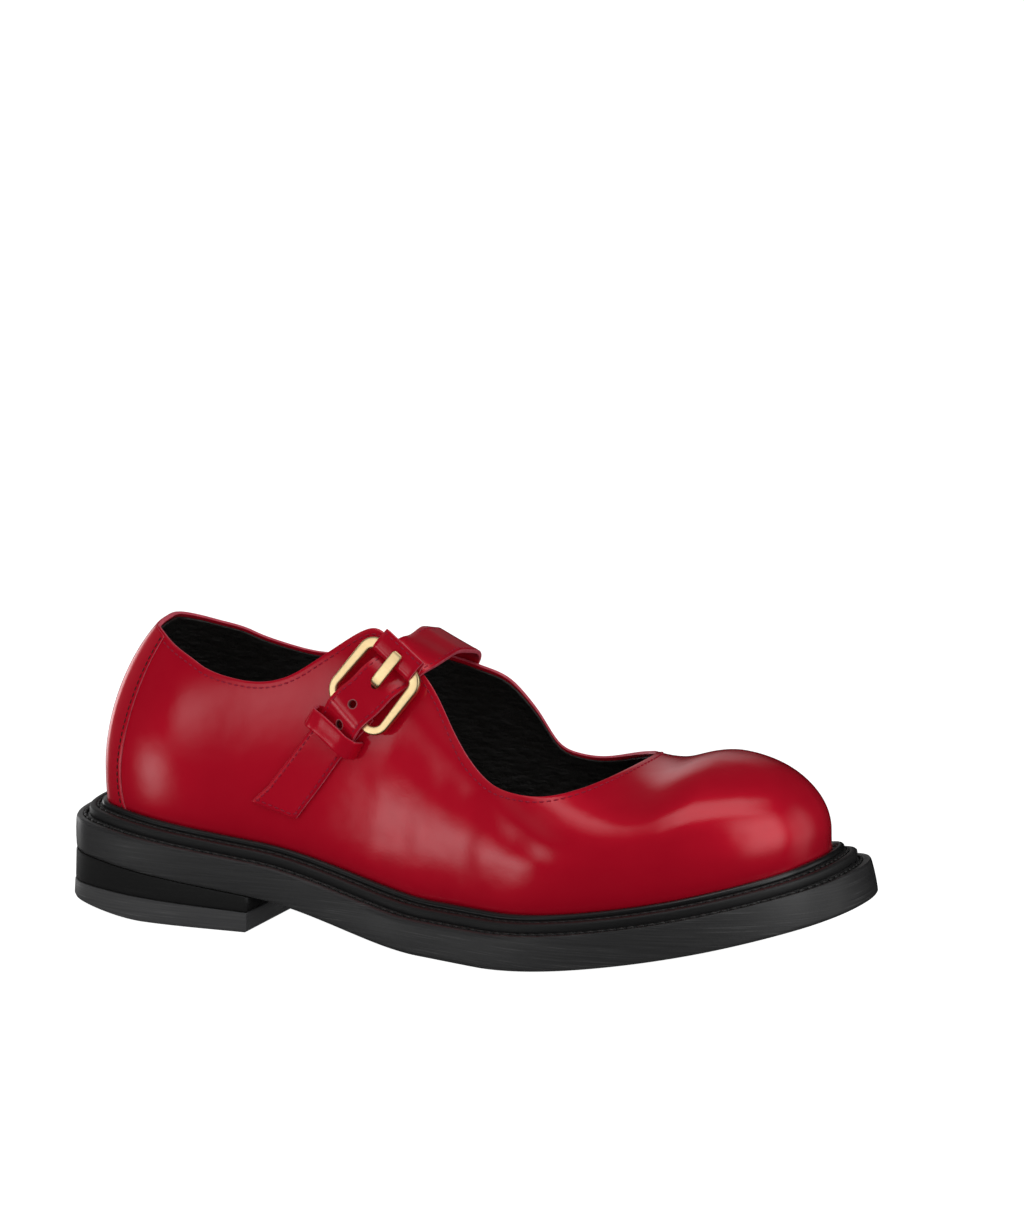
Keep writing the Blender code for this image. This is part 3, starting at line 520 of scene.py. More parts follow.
def leather_finish(name, pore_depth=0.000012, gloss=0.40, pore_scale=1900.0):
    made, recipe, shader, place = new_finish(name, Metallic=0.3, Specular_IOR_Level=0.1, Coat_Weight=0.85,
                                             Coat_Roughness=0.07, Coat_IOR=1.5)
    shade = recipe.span(recipe.noise(place, BROAD_SCALE), 0.35, 0.7, 0.0, 0.45)
    breath = recipe.noise(place, MIDDLE_SCALE, 4.0)
    skin = recipe.effect("leather grain", Vector=place, Pore_Scale=pore_scale, Grain_Scale=GRAIN_SCALE)
    fine = recipe.bump(skin["Height"], pore_depth)
    soft = recipe.noise(place, SOFT_SCALE, 2.0)
    recipe.put(shader, Base_Color=recipe.mix(shade, RED, DARK_RED),
               Roughness=recipe.span(breath, *CLOUD, gloss - 0.03, gloss + 0.05),
               Normal=recipe.bump(soft, SOFT_RELIEF, fine), Coat_Normal=recipe.bump(soft, SOFT_RELIEF, fine))
    return made


red_leather = leather_finish("polished red leather")
strap_leather = leather_finish("red strap leather", pore_depth=0.00002, gloss=0.42, pore_scale=1700.0)
print("finish:", red_leather.name, len(red_leather.node_tree.nodes), "nodes")

# %% [markdown]
# Cut leather shows its fibres, so a maker paints every edge.  On this shoe the painted edge is a
# paler, chalkier red than the face and draws a thin line round each panel.  A bevel alone would
# only catch light there, so the paint is a material of its own.  The threads, the punched holes
# and the insole need no more than the same mottling in their own colours.

# %% Painted edges, threads and other plain surfaces
PLAIN_SURFACES = {
    # name: colour, darker colour, roughness, noise scale, relief in metres, specular level
    "painted leather edge": ((0.78, 0.12, 0.17), (0.62, 0.06, 0.10), 0.45, 500.0, 0.00002, 0.25),
    "red thread": ((0.56, 0.022, 0.065), (0.30, 0.006, 0.022), 0.6, 2500.0, 0.00003, 0.12),
    "brown thread": ((0.10, 0.012, 0.012), (0.05, 0.006, 0.006), 0.65, 2500.0, 0.00003, 0.2),
    "waxed black thread": ((0.012, 0.012, 0.012), (0.03, 0.03, 0.03), 0.42, 2000.0, 0.00004, 0.5),
    "bare edge of a punched hole": ((0.30, 0.07, 0.06), (0.16, 0.03, 0.03), 0.7, 900.0, 0.00003, 0.5),
    "worn rim of a hole": ((0.50, 0.15, 0.16), (0.34, 0.07, 0.08), 0.5, 1500.0, 0.00002, 0.2),
    "black insole leather": ((0.010, 0.0095, 0.009), (0.016, 0.015, 0.014), 0.55, 300.0, 0.00008, 0.5),
}


def plain_finish(name, colour, dark, roughness, scale, depth, specular):
    """A plain surface with a little noise in its colour and its relief."""
    made, recipe, shader, place = new_finish(name, Specular_IOR_Level=specular)
    mottled = recipe.effect("mottling", Vector=place, Scale=scale, Light_Colour=colour, Dark_Colour=dark,
                            Rough_Low=roughness - 0.05, Rough_High=roughness + 0.07)
    recipe.put(shader, Base_Color=mottled["Color"], Roughness=mottled["Roughness"],
               Normal=recipe.bump(mottled["Fine"], depth))
    return made


(edge_paint, red_thread, brown_thread, black_thread, hole_wall, rim_paint, insole_leather) = (
    plain_finish(name, *row) for name, row in PLAIN_SURFACES.items())
print("plain surfaces:", ", ".join(PLAIN_SURFACES))

# %% [markdown]
# The lining is thin black kid that creased finely where it was pulled over the last.  The
# creases could be sculpted, but inside a dark shoe only their glints are seen, so they are a
# stretched noise with a stronger relief than the outer leather's.  The same noise paints a grey
# sheen on their crests: a painted highlight over the black kid.

# %% Black lining
WRINKLE_STRETCH, WRINKLE_SCALE, WRINKLE_RELIEF = 2.6, 210.0, 0.0011
# the first colour is the kid's own black; the second, grey, is a painted sheen on the wrinkles' crests
BLACK_KID, GREY_CREST_SHEEN = (0.009, 0.0085, 0.007), (0.024, 0.0225, 0.020)


def lining_finish():
    made, recipe, shader, place = new_finish("black lining leather", Coat_Weight=0.1, Coat_Roughness=0.3)
    wrinkle = recipe.noise(recipe.stretch(place, 1.0, 1.0, WRINKLE_STRETCH), WRINKLE_SCALE, 6.0, 0.62)
    skin = recipe.effect("leather grain", Vector=place, Pore_Scale=1500.0, Grain_Scale=1500.0,
                         Pore_Share=0.3)
    folds = recipe.bump(wrinkle, WRINKLE_RELIEF)
    # the wrinkle noise puts black in the troughs and the grey painted sheen on the crests
    recipe.put(shader, Base_Color=recipe.mix(wrinkle, BLACK_KID, GREY_CREST_SHEEN),
               Roughness=recipe.span(wrinkle, *CLOUD, 0.42, 0.58),
               Normal=recipe.bump(skin["Height"], 0.00003, folds))
    return made


lining_leather = lining_finish()
print("finish:", lining_leather.name)

# %% [markdown]
# The sole is black rubber, trimmed on a wheel and dressed.  Trimming leaves faint scratches that
# run along the edge.  An image of them would need the sole unwrapped, and a noise that is
# stretched along the sole doesn't: its scale is high in height and low in length.  The welt's
# upper steps are smoother and glossier than the slab's side.

# %% Black rubber
RUBBERS = {
    # name: how pale, roughness, amount of scratches, coat
    "dressed black rubber": (0.029, 0.42, 0.8, 0.05),
    "smooth black welting": (0.017, 0.50, 0.15, 0.0),
    "glossy black bead": (0.014, 0.34, 0.1, 0.3),
    "matt black heel rubber": (0.007, 0.66, 0.3, 0.0),
    "worn black top piece": (0.055, 0.5, 0.6, 0.0),
}
SCRATCH_PALER, SCRATCH_RELIEF, SPECK_SCALE, SPECK_RELIEF = 3.6, 0.00006, 1400.0, 0.00002


def rubber_finish(name, tone, roughness, scratch, coat):
    made, recipe, shader, place = new_finish(name, Coat_Weight=coat, Coat_Roughness=0.22)
    wheel = recipe.effect("wheel lines", Vector=place, Line_Scale=900.0, Amount=scratch)
    clouds = recipe.span(wheel["Patch"], *CLOUD, roughness - 0.05, roughness + 0.08)
    streaks = recipe.math("MULTIPLY", recipe.math("SUBTRACT", wheel["Lines"], 0.5), 0.25)
    colour = recipe.mix(wheel["Worn"], (tone, tone, tone * 1.04), (tone * SCRATCH_PALER,) * 3)
    grooves = recipe.bump(wheel["Lines"], SCRATCH_RELIEF, strength=min(1.0, 0.35 + scratch))
    specks = recipe.noise(place, SPECK_SCALE, 2.0)
    recipe.put(shader, Base_Color=colour, Roughness=recipe.math("ADD", clouds, streaks),
               Normal=recipe.bump(specks, SPECK_RELIEF, grooves))
    return made


slab_rubber, welt_rubber, bead_rubber, heel_rubber, top_piece_rubber = (
    rubber_finish(name, *row) for name, row in RUBBERS.items())
print("rubbers:", ", ".join(RUBBERS))

# %% [markdown]
# The buckle is plated, then brushed and lacquered: a warm gold with soft, slightly streaked
# reflections.  It is a metal, so its colour is the colour of its reflections.  Anisotropic
# shading could draw the streaks, but on so thin a bar a stretched noise does the same.

# %% Gold plate
GOLD, DEEP_GOLD = (0.94, 0.73, 0.41), (0.85, 0.62, 0.31)
BRUSH_STRETCH, BRUSH_SCALE, BRUSH_RELIEF = 4.0, 900.0, 0.000012


def gold_finish():
    made, recipe, shader, place = new_finish("satin gold plate", Metallic=1.0)
    brush = recipe.noise(recipe.stretch(place, 1.0, BRUSH_STRETCH, 1.0), BRUSH_SCALE, 4.0, 0.6)
    colour = recipe.mix(recipe.noise(place, 180.0, 2.0), GOLD, DEEP_GOLD)
    recipe.put(shader, Base_Color=colour, Roughness=recipe.span(brush, 0.25, 0.75, 0.30, 0.40),
               Normal=recipe.bump(brush, BRUSH_RELIEF))
    return made


gold_plate = gold_finish()
print("finish:", gold_plate.name)

# %% [markdown]
# Now the pieces.  Each mesh is built from rows of points: a grid becomes a sheet, and modifiers
# give it thickness and rounded edges.  A second skin could be built by hand, but Solidify keeps
# the wall even and hands its rim another material, which is just how a painted edge works.

# %% Making meshes and finishing modifiers
SHOE_MIDDLE = np.array([SOLE_LENGTH / 2.0, -FOOTPRINT_SHIFT, 0.0])
SHARP = 50.0                             # degrees; edges that turn by less are shaded smooth
PIECES = []


def add_piece(name, vertices, edges=(), faces=()):
    """An object in its place, in metres, from points in millimetres."""
    mesh = bpy.data.meshes.new(name)
    placed = (np.asarray(vertices, float) - SHOE_MIDDLE) * MM
    mesh.from_pydata(placed.tolist(), list(edges), [tuple(map(int, f)) for f in faces])
    piece = bpy.data.objects.new(name, mesh)
    bpy.context.scene.collection.objects.link(piece)
    PIECES.append(piece)
    return piece


def smooth(mesh, sharp):
    """Shade a mesh smooth, but for the edges that turn by more than an angle in degrees."""
    mesh.shade_smooth()
    mesh.set_sharp_from_angle(angle=math.radians(sharp))


def new_piece(name, vertices, faces, *finishes, sharp=SHARP):
    piece = add_piece(name, vertices, faces=faces)
    for finish in finishes:
        piece.data.materials.append(finish)
    smooth(piece.data, sharp)
    return piece


def bake(piece):
    """Apply the piece's modifiers."""
    graph = bpy.context.evaluated_depsgraph_get()
    old, piece.data = piece.data, bpy.data.meshes.new_from_object(piece.evaluated_get(graph))
    piece.modifiers.clear()
    bpy.data.meshes.remove(old)
    piece.data.name = piece.name


def grid_faces(rows, columns, closed=False, flip=False):
    """Quads over a grid of points; closed joins the last column to the first."""
    i, j = np.meshgrid(np.arange(rows - 1), np.arange(columns if closed else columns - 1), indexing="ij")
    a, b = i * columns + j, i * columns + (j + 1) % columns
    quads = np.stack([a, b, b + columns, a + columns], axis=-1).reshape(-1, 4)
    return quads[:, ::-1] if flip else quads


def closed_loft(rings):
    """Points and quads of a tube that is closed both round its section and along its way."""
    levels, count = len(rings), len(rings[0])
    return np.vstack(rings), grid_faces(levels + 1, count, closed=True) % (levels * count)


def thicken(piece, thickness, soft, offset=-1.0):
    """Give a sheet its thickness and rounded edges; a second material goes to its rim."""
    wall = piece.modifiers.new("thickness", "SOLIDIFY")
    wall.thickness, wall.offset = thickness * MM, offset
    wall.material_offset_rim = len(piece.data.materials) - 1
    edge = piece.modifiers.new("rounded edge", "BEVEL")
    edge.width, edge.segments = soft * MM, 2
    edge.limit_method, edge.angle_limit = "ANGLE", math.radians(SHARP)
    bake(piece)
    smooth(piece.data, SHARP)


# %% [markdown]
# The upper's pattern is a ring: its outer edge is the feather line, where the leather meets the
# welt, and its inner edge is the mouth.  Both edges are sampled in step, and rows of points run
# between them.  The mouth is a closed spline through points measured round the collar, the
# wings under the strap and the open throat.  A mouth cut with a Boolean would end the rows
# anywhere, and the polish would show it.

# %% The mouth and the feather line
MOUTH_STATIONS = (
    # along, across: back, outer side, throat, inner side
    (36.2, 0.0), (37.4, -8.3), (40.1, -13.0), (44.2, -16.2), (50.5, -18.4), (60.0, -19.9),
    (72.0, -20.8), (83.2, -20.3), (91.5, -18.8), (99.2, -16.9), (106.0, -14.7), (112.0, -13.2),
    (118.0, -13.7), (124.0, -14.2), (129.6, -14.6), (135.6, -16.1), (141.8, -18.4), (149.0, -20.5),
    (157.6, -21.7), (167.0, -21.1), (176.8, -19.0), (186.2, -14.9), (193.5, -8.9), (197.2, 0.0),
    (193.2, 8.6), (185.0, 14.6), (176.8, 18.7), (168.0, 21.8), (159.8, 23.1), (153.0, 22.6),
    (148.0, 19.5), (144.6, 17.8), (140.8, 16.5), (136.5, 16.2), (131.0, 16.7), (124.5, 17.4),
    (116.0, 18.4), (106.5, 18.8), (97.0, 19.5), (86.0, 20.7), (72.0, 20.7), (58.0, 19.0),
    (47.5, 16.7), (41.0, 13.4), (37.3, 7.9),
)
# share of the way round, and the station that comes there
MOUTH_ANCHORS = ((0.0, 0), (0.10, 3), (0.24, 9), (0.40, 21), (0.5, 23), (0.6, 25), (0.715, 30),
                 (0.80, 38), (0.9, 42), (1.0, 45))


def mouth_ring(count):
    points = np.array(MOUTH_STATIONS)
    loop = np.vstack([points[-3:], points, points[:4]])
    chord = run_length(loop)
    shares, rows = np.array(MOUTH_ANCHORS).T
    return read_spline(loop, chord, np.interp(np.arange(count) / count, shares, chord[rows.astype(int) + 3]))


def foot_ring(count):
    """The pattern's outer edge: two straight sides and two half circles, from the heel's back."""
    side, arc, radius = SPINE_TOE - SPINE_HEEL, math.pi * PATTERN_RADIUS, PATTERN_RADIUS
    place = np.linspace(0.0, 2.0 * (arc + side), count, endpoint=False)
    inner = place > arc + side
    way = np.where(inner, 2.0 * (arc + side) - place, place)
    heel, toe = way < arc / 2.0, way >= arc / 2.0 + side
    turn = np.where(heel, math.pi - way / radius, math.pi / 2.0 - (way - arc / 2.0 - side) / radius)
    x = np.where(heel, SPINE_HEEL + radius * np.cos(turn), SPINE_HEEL + way - arc / 2.0)
    x = np.where(toe, SPINE_TOE + radius * np.cos(turn), x)
    y = np.where(heel | toe, radius * np.sin(turn), radius)
    return np.stack([x, np.where(inner, y, -y)], axis=1)


print("mouth is", round(float(np.ptp(mouth_ring(200)[:, 0]))), "mm long on the pattern")

# %% [markdown]
# The outer leather is 1.2 mm thick, and the lining is a second sheet just inside it.  Two sheets
# cost more faces than one, but only two sheets show what the eye looks for at a collar: a pale
# painted edge, then a step down to the black lining.

# %% Outer leather and lining
RING, ROWS = 440, 60
LEATHER, LINING, LINING_GAP = 1.2, 0.8, 0.08
LINING_TOP = 0.982                       # how far up the lining goes, as a share of the leather
CROWDING = 0.93                          # the rows stand a little closer at the mouth
TOE_TOP, TOE_ROUNDING, TOE_PASSES = (SPINE_TOE, 0.0), 8.0, 12    # smoothed, or the polish shows a dimple


def upper_sheet(name, depth, shares, *finishes):
    """A sheet a depth inside the leather's face, from the feather line to the mouth."""
    foot, mouth = foot_ring(RING), mouth_ring(RING)
    pattern = np.vstack([foot + (mouth - foot) * share for share in shares])
    return new_piece(name, LAST.point(pattern, -depth), grid_faces(ROWS, RING, closed=True), *finishes)


upper = upper_sheet("upper_leather", 0.0, np.linspace(0.0, 1.0, ROWS) ** CROWDING, red_leather, edge_paint)
shape = bmesh.new()
shape.from_mesh(upper.data)
top_of_toe = Vector((LAST.point([TOE_TOP])[0] - SHOE_MIDDLE) * MM)
near_top = [vert for vert in shape.verts if (vert.co - top_of_toe).length < TOE_ROUNDING * MM]
for _ in range(TOE_PASSES):
    bmesh.ops.smooth_vert(shape, verts=near_top, factor=0.5,
                          use_axis_x=True, use_axis_y=True, use_axis_z=True)
shape.to_mesh(upper.data)
shape.free()
thicken(upper, LEATHER, 0.28)
lining = upper_sheet("lining", LEATHER + LINING_GAP, np.linspace(0.0, LINING_TOP, ROWS), lining_leather)
thicken(lining, LINING, 0.25)
print("upper:", len(upper.data.polygons), "faces; lining:", len(lining.data.polygons), "faces")

# %% [markdown]
# Bands follow the last: the strap, the strip that holds the buckle, and the keeper.  A flat
# strip with a Shrinkwrap would lose its width where the last curves both ways.  So a band is a
# centre line on the pattern with a height above the leather at each station, and at every row
# the direction across it is found on the surface itself.

# %% Bands on the last
STRAP_WIDTH, STRAP_THICKNESS = 14.6, 1.4
STRIP_WIDTH, STRIP_THICKNESS = 14.0, 1.2
KEEPER_WIDTH, KEEPER_THICKNESS = 6.2, 1.2
STRAP_STATIONS = (
    # along, across, height of the underside above the leather
    (86.0, 32.6, 0.3), (94.5, 29.6, 0.3), (104.0, 26.2, 0.35), (112.0, 22.6, 0.5),
    (117.0, 20.0, 0.95), (120.6, 17.9, 1.05), (123.4, 15.6, -1.3), (126.6, 12.0, -5.7),
    (129.5, 6.7, -9.5), (130.8, 0.6, -10.5), (129.9, -4.6, -9.5), (128.2, -8.8, -6.3),
    (126.4, -11.6, -2.6), (124.0, -13.7, 0.2), (119.5, -16.7, 0.45),
    (117.5, -17.9, 1.7), (115.4, -19.1, 2.9), (113.2, -20.4, 3.7), (110.5, -21.6, 4.2),
    (108.2, -22.5, 4.9), (106.0, -23.4, 4.9), (104.2, -24.1, 3.5), (102.6, -24.7, 2.3),
    (99.8, -25.7, 1.95),
)
BRIDGE_FLATTER = 0.012                   # where it bridges the instep the strap tilts less than the last
STRIP_STATIONS = (
    (109.2, -22.1, 0.3), (104.0, -24.2, 0.3), (97.9, -26.4, 0.3), (89.4, -29.6, 0.3),
    (81.2, -32.4, 0.3), (75.2, -34.8, 0.3),
)
STRIP_CUT = {"trim": 5.4, "skew": 0.7}     # off the drawn end: at the middle, and more for each mm across
KEEPER_STATIONS = (
    (92.9, -24.3, 0.3), (93.1, -24.33, 1.8), (93.5, -24.4, 3.8), (94.6, -24.55, 5.1),
    (97.0, -24.8, 5.6), (100.0, -25.2, 5.75), (103.4, -25.65, 5.75), (106.1, -25.99, 5.5),
    (107.9, -26.12, 4.7), (108.5, -26.16, 2.6), (108.7, -26.17, 0.3),
)
NEARING_STEPS = 3


class Band:
    """A band's rows: its middle line on the last and the direction across it."""

    def __init__(self, stations, width, count, trim=0.0, skew=0.0):
        rows = open_curve(stations, count)
        self.pattern, self.lift, self.width = rows[:, :2], rows[:, 2], width
        self.trim, self.skew = trim, skew
        self.middle = LAST.plain(self.pattern)
        along = unit(np.gradient(self.middle, axis=0))
        self.across = np.cross(LAST.plain_normal(self.pattern), along)
        self.drawn = run_length(self.middle)[-1]
        self.length = run_length(self.line(0.0))

    def beside(self, offset):
        """Pattern places whose points on the last are nearest to the middle line moved across."""
        target, places = self.middle + self.across * offset, self.pattern.copy()
        for _ in range(NEARING_STEPS):
            miss = target - LAST.plain(places)
            places += [np.linalg.lstsq(np.column_stack([a, b]), c, rcond=None)[0]
                       for a, b, c in zip(*LAST.slopes(places), miss)]
        return places

    def line(self, offset, height=0.0):
        """Points along the band at an offset from its middle and a height above its underside."""
        last = len(self.pattern) - 1
        rows = np.linspace(0.0, last * (1.0 - (self.trim + self.skew * offset) / self.drawn), last + 1)
        table = read_line(np.column_stack([self.beside(offset), self.lift]), np.arange(last + 1), rows)
        places, lift = table[:, :2], table[:, 2:]
        lift = lift + height - BRIDGE_FLATTER * np.minimum(lift, 0.0) * offset
        return LAST.plain(places) + LAST.plain_normal(places) * lift

    def sheet(self, ribs, crown=0.0):
        offsets = np.linspace(-self.width / 2.0, self.width / 2.0, ribs)
        lines = [self.line(o, crown * (1.0 - (2.0 * o / self.width) ** 2)) for o in offsets]
        return np.stack(lines, axis=1).reshape(-1, 3)


def make_band(name, stations, width, thickness, count, ribs=9, crown=0.0, **cut):
    band = Band(stations, width, count, **cut)
    piece = new_piece(name, band.sheet(ribs, crown), grid_faces(count, ribs, flip=True),
                      strap_leather, edge_paint)
    thicken(piece, thickness, 0.35, offset=1.0)
    return piece, band


strap, strap_band = make_band("instep_strap", STRAP_STATIONS, STRAP_WIDTH, STRAP_THICKNESS, 150)
strip_band = make_band("buckle_strip_leather", STRIP_STATIONS, STRIP_WIDTH, STRIP_THICKNESS, 56,
                       **STRIP_CUT)[1]
make_band("keeper", KEEPER_STATIONS, KEEPER_WIDTH, KEEPER_THICKNESS, 60, ribs=7, crown=0.25)
print("strap length:", round(strap_band.length[-1]), "mm")

# %% [markdown]
# The strap has two spare holes below the prong.  They are cut for real with a Boolean: a short
# round punch is stood on the strap at each place, and the walls that it leaves take the punch's
# own material, so each hole shows bare leather inside a thin worn rim.  A third hole lets the
# prong through.

# %% Axes of the buckle and punched holes
BUCKLE_AT, STRIP_END = np.array([114.3, -19.75]), np.array([80.2, -32.4])
BUCKLE_TURN = math.radians(20.5)
HOLE_RADIUS, HOLE_SIDES, PUNCH_LENGTH = 1.35, 28, 9.0
HOLE_PLACES = ((8.1, -1.2), (16.4, -1.3))       # down, across from the middle of the frame
PRONG_ACROSS = 0.3
PRONG_HOLE = (-1.3, PRONG_ACROSS)
RIM_OUTSIDE, RIM_WIRE = 0.14, 0.17
RAY_HEIGHT, PUNCH_HEIGHT = 14.0, 4.0            # above the leather at the frame's middle


class BuckleAxes:
    """Down the strap, across it, and up from the leather, at the middle of the frame."""

    def __init__(self):
        self.base, self.up = LAST.plain(BUCKLE_AT)[0], LAST.plain_normal(BUCKLE_AT)[0]
        way = (STRIP_END - BUCKLE_AT) / np.linalg.norm(STRIP_END - BUCKLE_AT)
        down = np.subtract(*LAST.plain([BUCKLE_AT + way * 0.5, BUCKLE_AT - way * 0.5]))
        down = down / np.linalg.norm(down)
        across = np.cross(self.up, down)
        self.down = down * math.cos(BUCKLE_TURN) + across * math.sin(BUCKLE_TURN)
        self.across = across * math.cos(BUCKLE_TURN) - down * math.sin(BUCKLE_TURN)

    def at(self, down, across, lift):
        return self.base + self.down * down + self.across * across + self.up * lift


BUCKLE = BuckleAxes()
print("buckle up:", BUCKLE.up.round(3), "down:", BUCKLE.down.round(3), "across:", BUCKLE.across.round(3))
strap_faces = BVHTree.FromObject(strap, bpy.context.evaluated_depsgraph_get())


def hole_rim(name, down, across):
    """A thin ring laid on the strap's face round a hole."""
    rings = []
    for turn in np.radians(np.arange(0.0, 360.0, 15.0)):
        ahead = BUCKLE.down * math.cos(turn) + BUCKLE.across * math.sin(turn)
        above = BUCKLE.at(down, across, RAY_HEIGHT) + ahead * (HOLE_RADIUS + RIM_OUTSIDE)
        hit = strap_faces.ray_cast(Vector((above - SHOE_MIDDLE) * MM), Vector(-BUCKLE.up))[0]
        centre = np.array(hit) / MM + SHOE_MIDDLE
        rings.append([centre + (ahead * math.cos(t) + BUCKLE.up * math.sin(t)) * RIM_WIRE
                      for t in np.radians(np.arange(0.0, 360.0, 60.0))])
    new_piece(name, *closed_loft(rings), rim_paint)


def punch(piece, places, finish):
    """Cut round holes through a piece, square to the buckle's face."""
    piece.data.materials.append(finish)
    square = Matrix([list(BUCKLE.down), list(BUCKLE.across), list(BUCKLE.up)]).transposed().to_4x4()
    for down, across in places:
        bpy.ops.mesh.primitive_cylinder_add(vertices=HOLE_SIDES, radius=HOLE_RADIUS * MM,
                                            depth=PUNCH_LENGTH * MM)
        tool = bpy.context.object
        spot = Vector((BUCKLE.at(down, across, PUNCH_HEIGHT) - SHOE_MIDDLE) * MM)
        tool.data.transform(Matrix.Translation(spot) @ square)
        tool.data.materials.clear()
        tool.data.materials.append(finish)
        cut = piece.modifiers.new("hole", "BOOLEAN")
        cut.object, cut.solver, cut.material_mode = tool, "EXACT", "TRANSFER"
    tools = [cut.object for cut in piece.modifiers]
    bake(piece)
    smooth(piece.data, 35.0)
    for tool in tools:
        bpy.data.objects.remove(tool)


for number, (down, across) in enumerate(HOLE_PLACES, 1):
    hole_rim("hole_rim_%d" % number, down, across)
punch(strap, HOLE_PLACES + (PRONG_HOLE,), hole_wall)
print("strap after punching:", len(strap.data.polygons), "faces")

# %% [markdown]
# The buckle's frame is one closed bar with a flattened, rounded section, so it is a loft: a small
# section is carried round a rounded rectangle.  The section is a squarish oval, because a plated
# casting has soft shoulders that catch a thin line of light beside a broad one.

# %% Buckle frame and prong
FRAME_LENGTH, FRAME_WIDTH, FRAME_BAR, FRAME_HIGH = 26.2, 25.8, 3.3, 2.0
FRAME_CORNER, FRAME_SHIFT, BUCKLE_LIFT = 6.0, (-0.6, -0.3), 2.9
LIMB_TAPER = 0.36                        # the upper limb is wider than the lower one
FRAME_SECTION, FRAME_SQUARENESS, PRONG_SECTION, PRONG_SQUARENESS = 32, 4.2, 28, 5.0
CORNER_POINTS = 12


def rounded_rectangle(length, width, corner, arc_points):
    turn = np.radians([90.0 * k + np.linspace(0.0, 90.0, arc_points) for k in range(4)])
    middles = np.array([(1, 1), (-1, 1), (-1, -1), (1, -1)]) * (length / 2.0 - corner, width / 2.0 - corner)
    return (middles[:, None] + corner * np.stack([np.cos(turn), np.sin(turn)], axis=2)).reshape(-1, 2)


def squared_oval(wide, high, count, power):
    turn = 2.0 * math.pi * np.arange(count) / count
    c, s = np.cos(turn), np.sin(turn)
    return np.stack([np.sign(c) * np.abs(c) ** (2.0 / power) * wide / 2.0,
                     np.sign(s) * np.abs(s) ** (2.0 / power) * high / 2.0], axis=1)


path = rounded_rectangle(FRAME_LENGTH - FRAME_BAR, FRAME_WIDTH - FRAME_BAR,
                         FRAME_CORNER - FRAME_BAR / 2.0, CORNER_POINTS)
ahead = unit(np.roll(path, -1, axis=0) - np.roll(path, 1, axis=0))
outward = np.stack([ahead[:, 1], -ahead[:, 0]], axis=1)
section = squared_oval(FRAME_BAR, FRAME_HIGH, FRAME_SECTION, FRAME_SQUARENESS)
rings = []
for spot, away in zip(path, outward):
    wider = 1.0 - LIMB_TAPER * spot[0] / FRAME_LENGTH
    places = spot + FRAME_SHIFT + (section[:, :1] * wider - (wider - 1.0) * FRAME_BAR / 2.0) * away
    rings.append([BUCKLE.at(*place, BUCKLE_LIFT + high) for place, high in zip(places, section[:, 1])])
buckle_frame = new_piece("buckle_frame_plated", *closed_loft(rings), gold_plate)

PRONG_STATIONS = (
    # down, lift of the middle, width, height
    (-14.4, 5.7, 2.5, 0.4), (-14.25, 5.7, 3.0, 0.7), (-13.9, 5.75, 3.5, 0.9), (-13.3, 5.8, 3.9, 1.0),
    (-9.0, 5.85, 3.9, 1.0), (-5.0, 5.8, 3.9, 1.0), (-2.7, 5.6, 3.9, 1.0), (-1.7, 5.2, 3.7, 1.0),
    (-1.1, 4.4, 3.0, 1.1), (-0.9, 3.3, 2.4, 1.1), (-0.8, 2.4, 1.7, 1.0),
)
stations = np.array(PRONG_STATIONS)
padded = np.vstack([stations[:1], stations, stations[-1:]])
run, climb = (padded[2:] - padded[:-2])[:, :2].T
rings = [[BUCKLE.at(down - math.sin(slope) * h, PRONG_ACROSS + w, lift + math.cos(slope) * h)
          for w, h in squared_oval(wide, high, PRONG_SECTION, PRONG_SQUARENESS)]
         for (down, lift, wide, high), slope in zip(stations, np.arctan2(climb, run))]
walls = grid_faces(len(rings), PRONG_SECTION, closed=True, flip=True).tolist()
near_end = list(range(PRONG_SECTION))
far_end = [(len(rings) - 1) * PRONG_SECTION + k for k in near_end[::-1]]
prong = new_piece("buckle_prong_plated", np.vstack(rings), walls + [near_end, far_end], gold_plate)
print("frame:", len(buckle_frame.data.polygons), "faces; prong:", len(prong.data.polygons), "faces")

# %% [markdown]
# A short leather tab is folded round the upper bar of the frame, where the prong's tip rests, so
# the metal never rubs the strap.  Cloth could be simulated for it, but so small a fold is drawn
# in one go: its middle line is a U, and Solidify gives it its thickness.

# %% Folded tab
TAB_WIDTH, TAB_THICKNESS, GAP = 17.0, 0.8, 0.3
TAB_ROWS, TAB_RIBS, TAB_SLACK = 56, 13, 0.2
TAB_STITCH_AT, TAB_STITCH_HEIGHT, TAB_STITCH_IN = -4.1, 1.44, 1.0
bar_at = -(FRAME_LENGTH - FRAME_BAR) / 2.0 + FRAME_SHIFT[0]
fold_wide = FRAME_BAR / 2.0 + GAP + TAB_THICKNESS / 2.0 + TAB_SLACK
fold_high = FRAME_HIGH / 2.0 + GAP + TAB_THICKNESS / 2.0
TAB_STATIONS = (
    # down from the bar, height over the frame's middle: below it, round it and back above it
    (-5.0, -0.5), (-4.2, -0.52), (-3.4, -0.72), (-2.4, -1.1), (-1.2, -fold_high),
    *((fold_wide * math.cos(t), fold_high * math.sin(t)) for t in np.radians(np.arange(-90.0, 91.0, 15.0))),
    (-1.2, fold_high + 0.04), (-2.4, fold_high), (-3.4, 1.55), (-4.4, 1.35), (-5.3, 1.25),
)


def on_tab(down, across, height):
    return BUCKLE.at(bar_at + down, FRAME_SHIFT[1] + across, BUCKLE_LIFT + height)


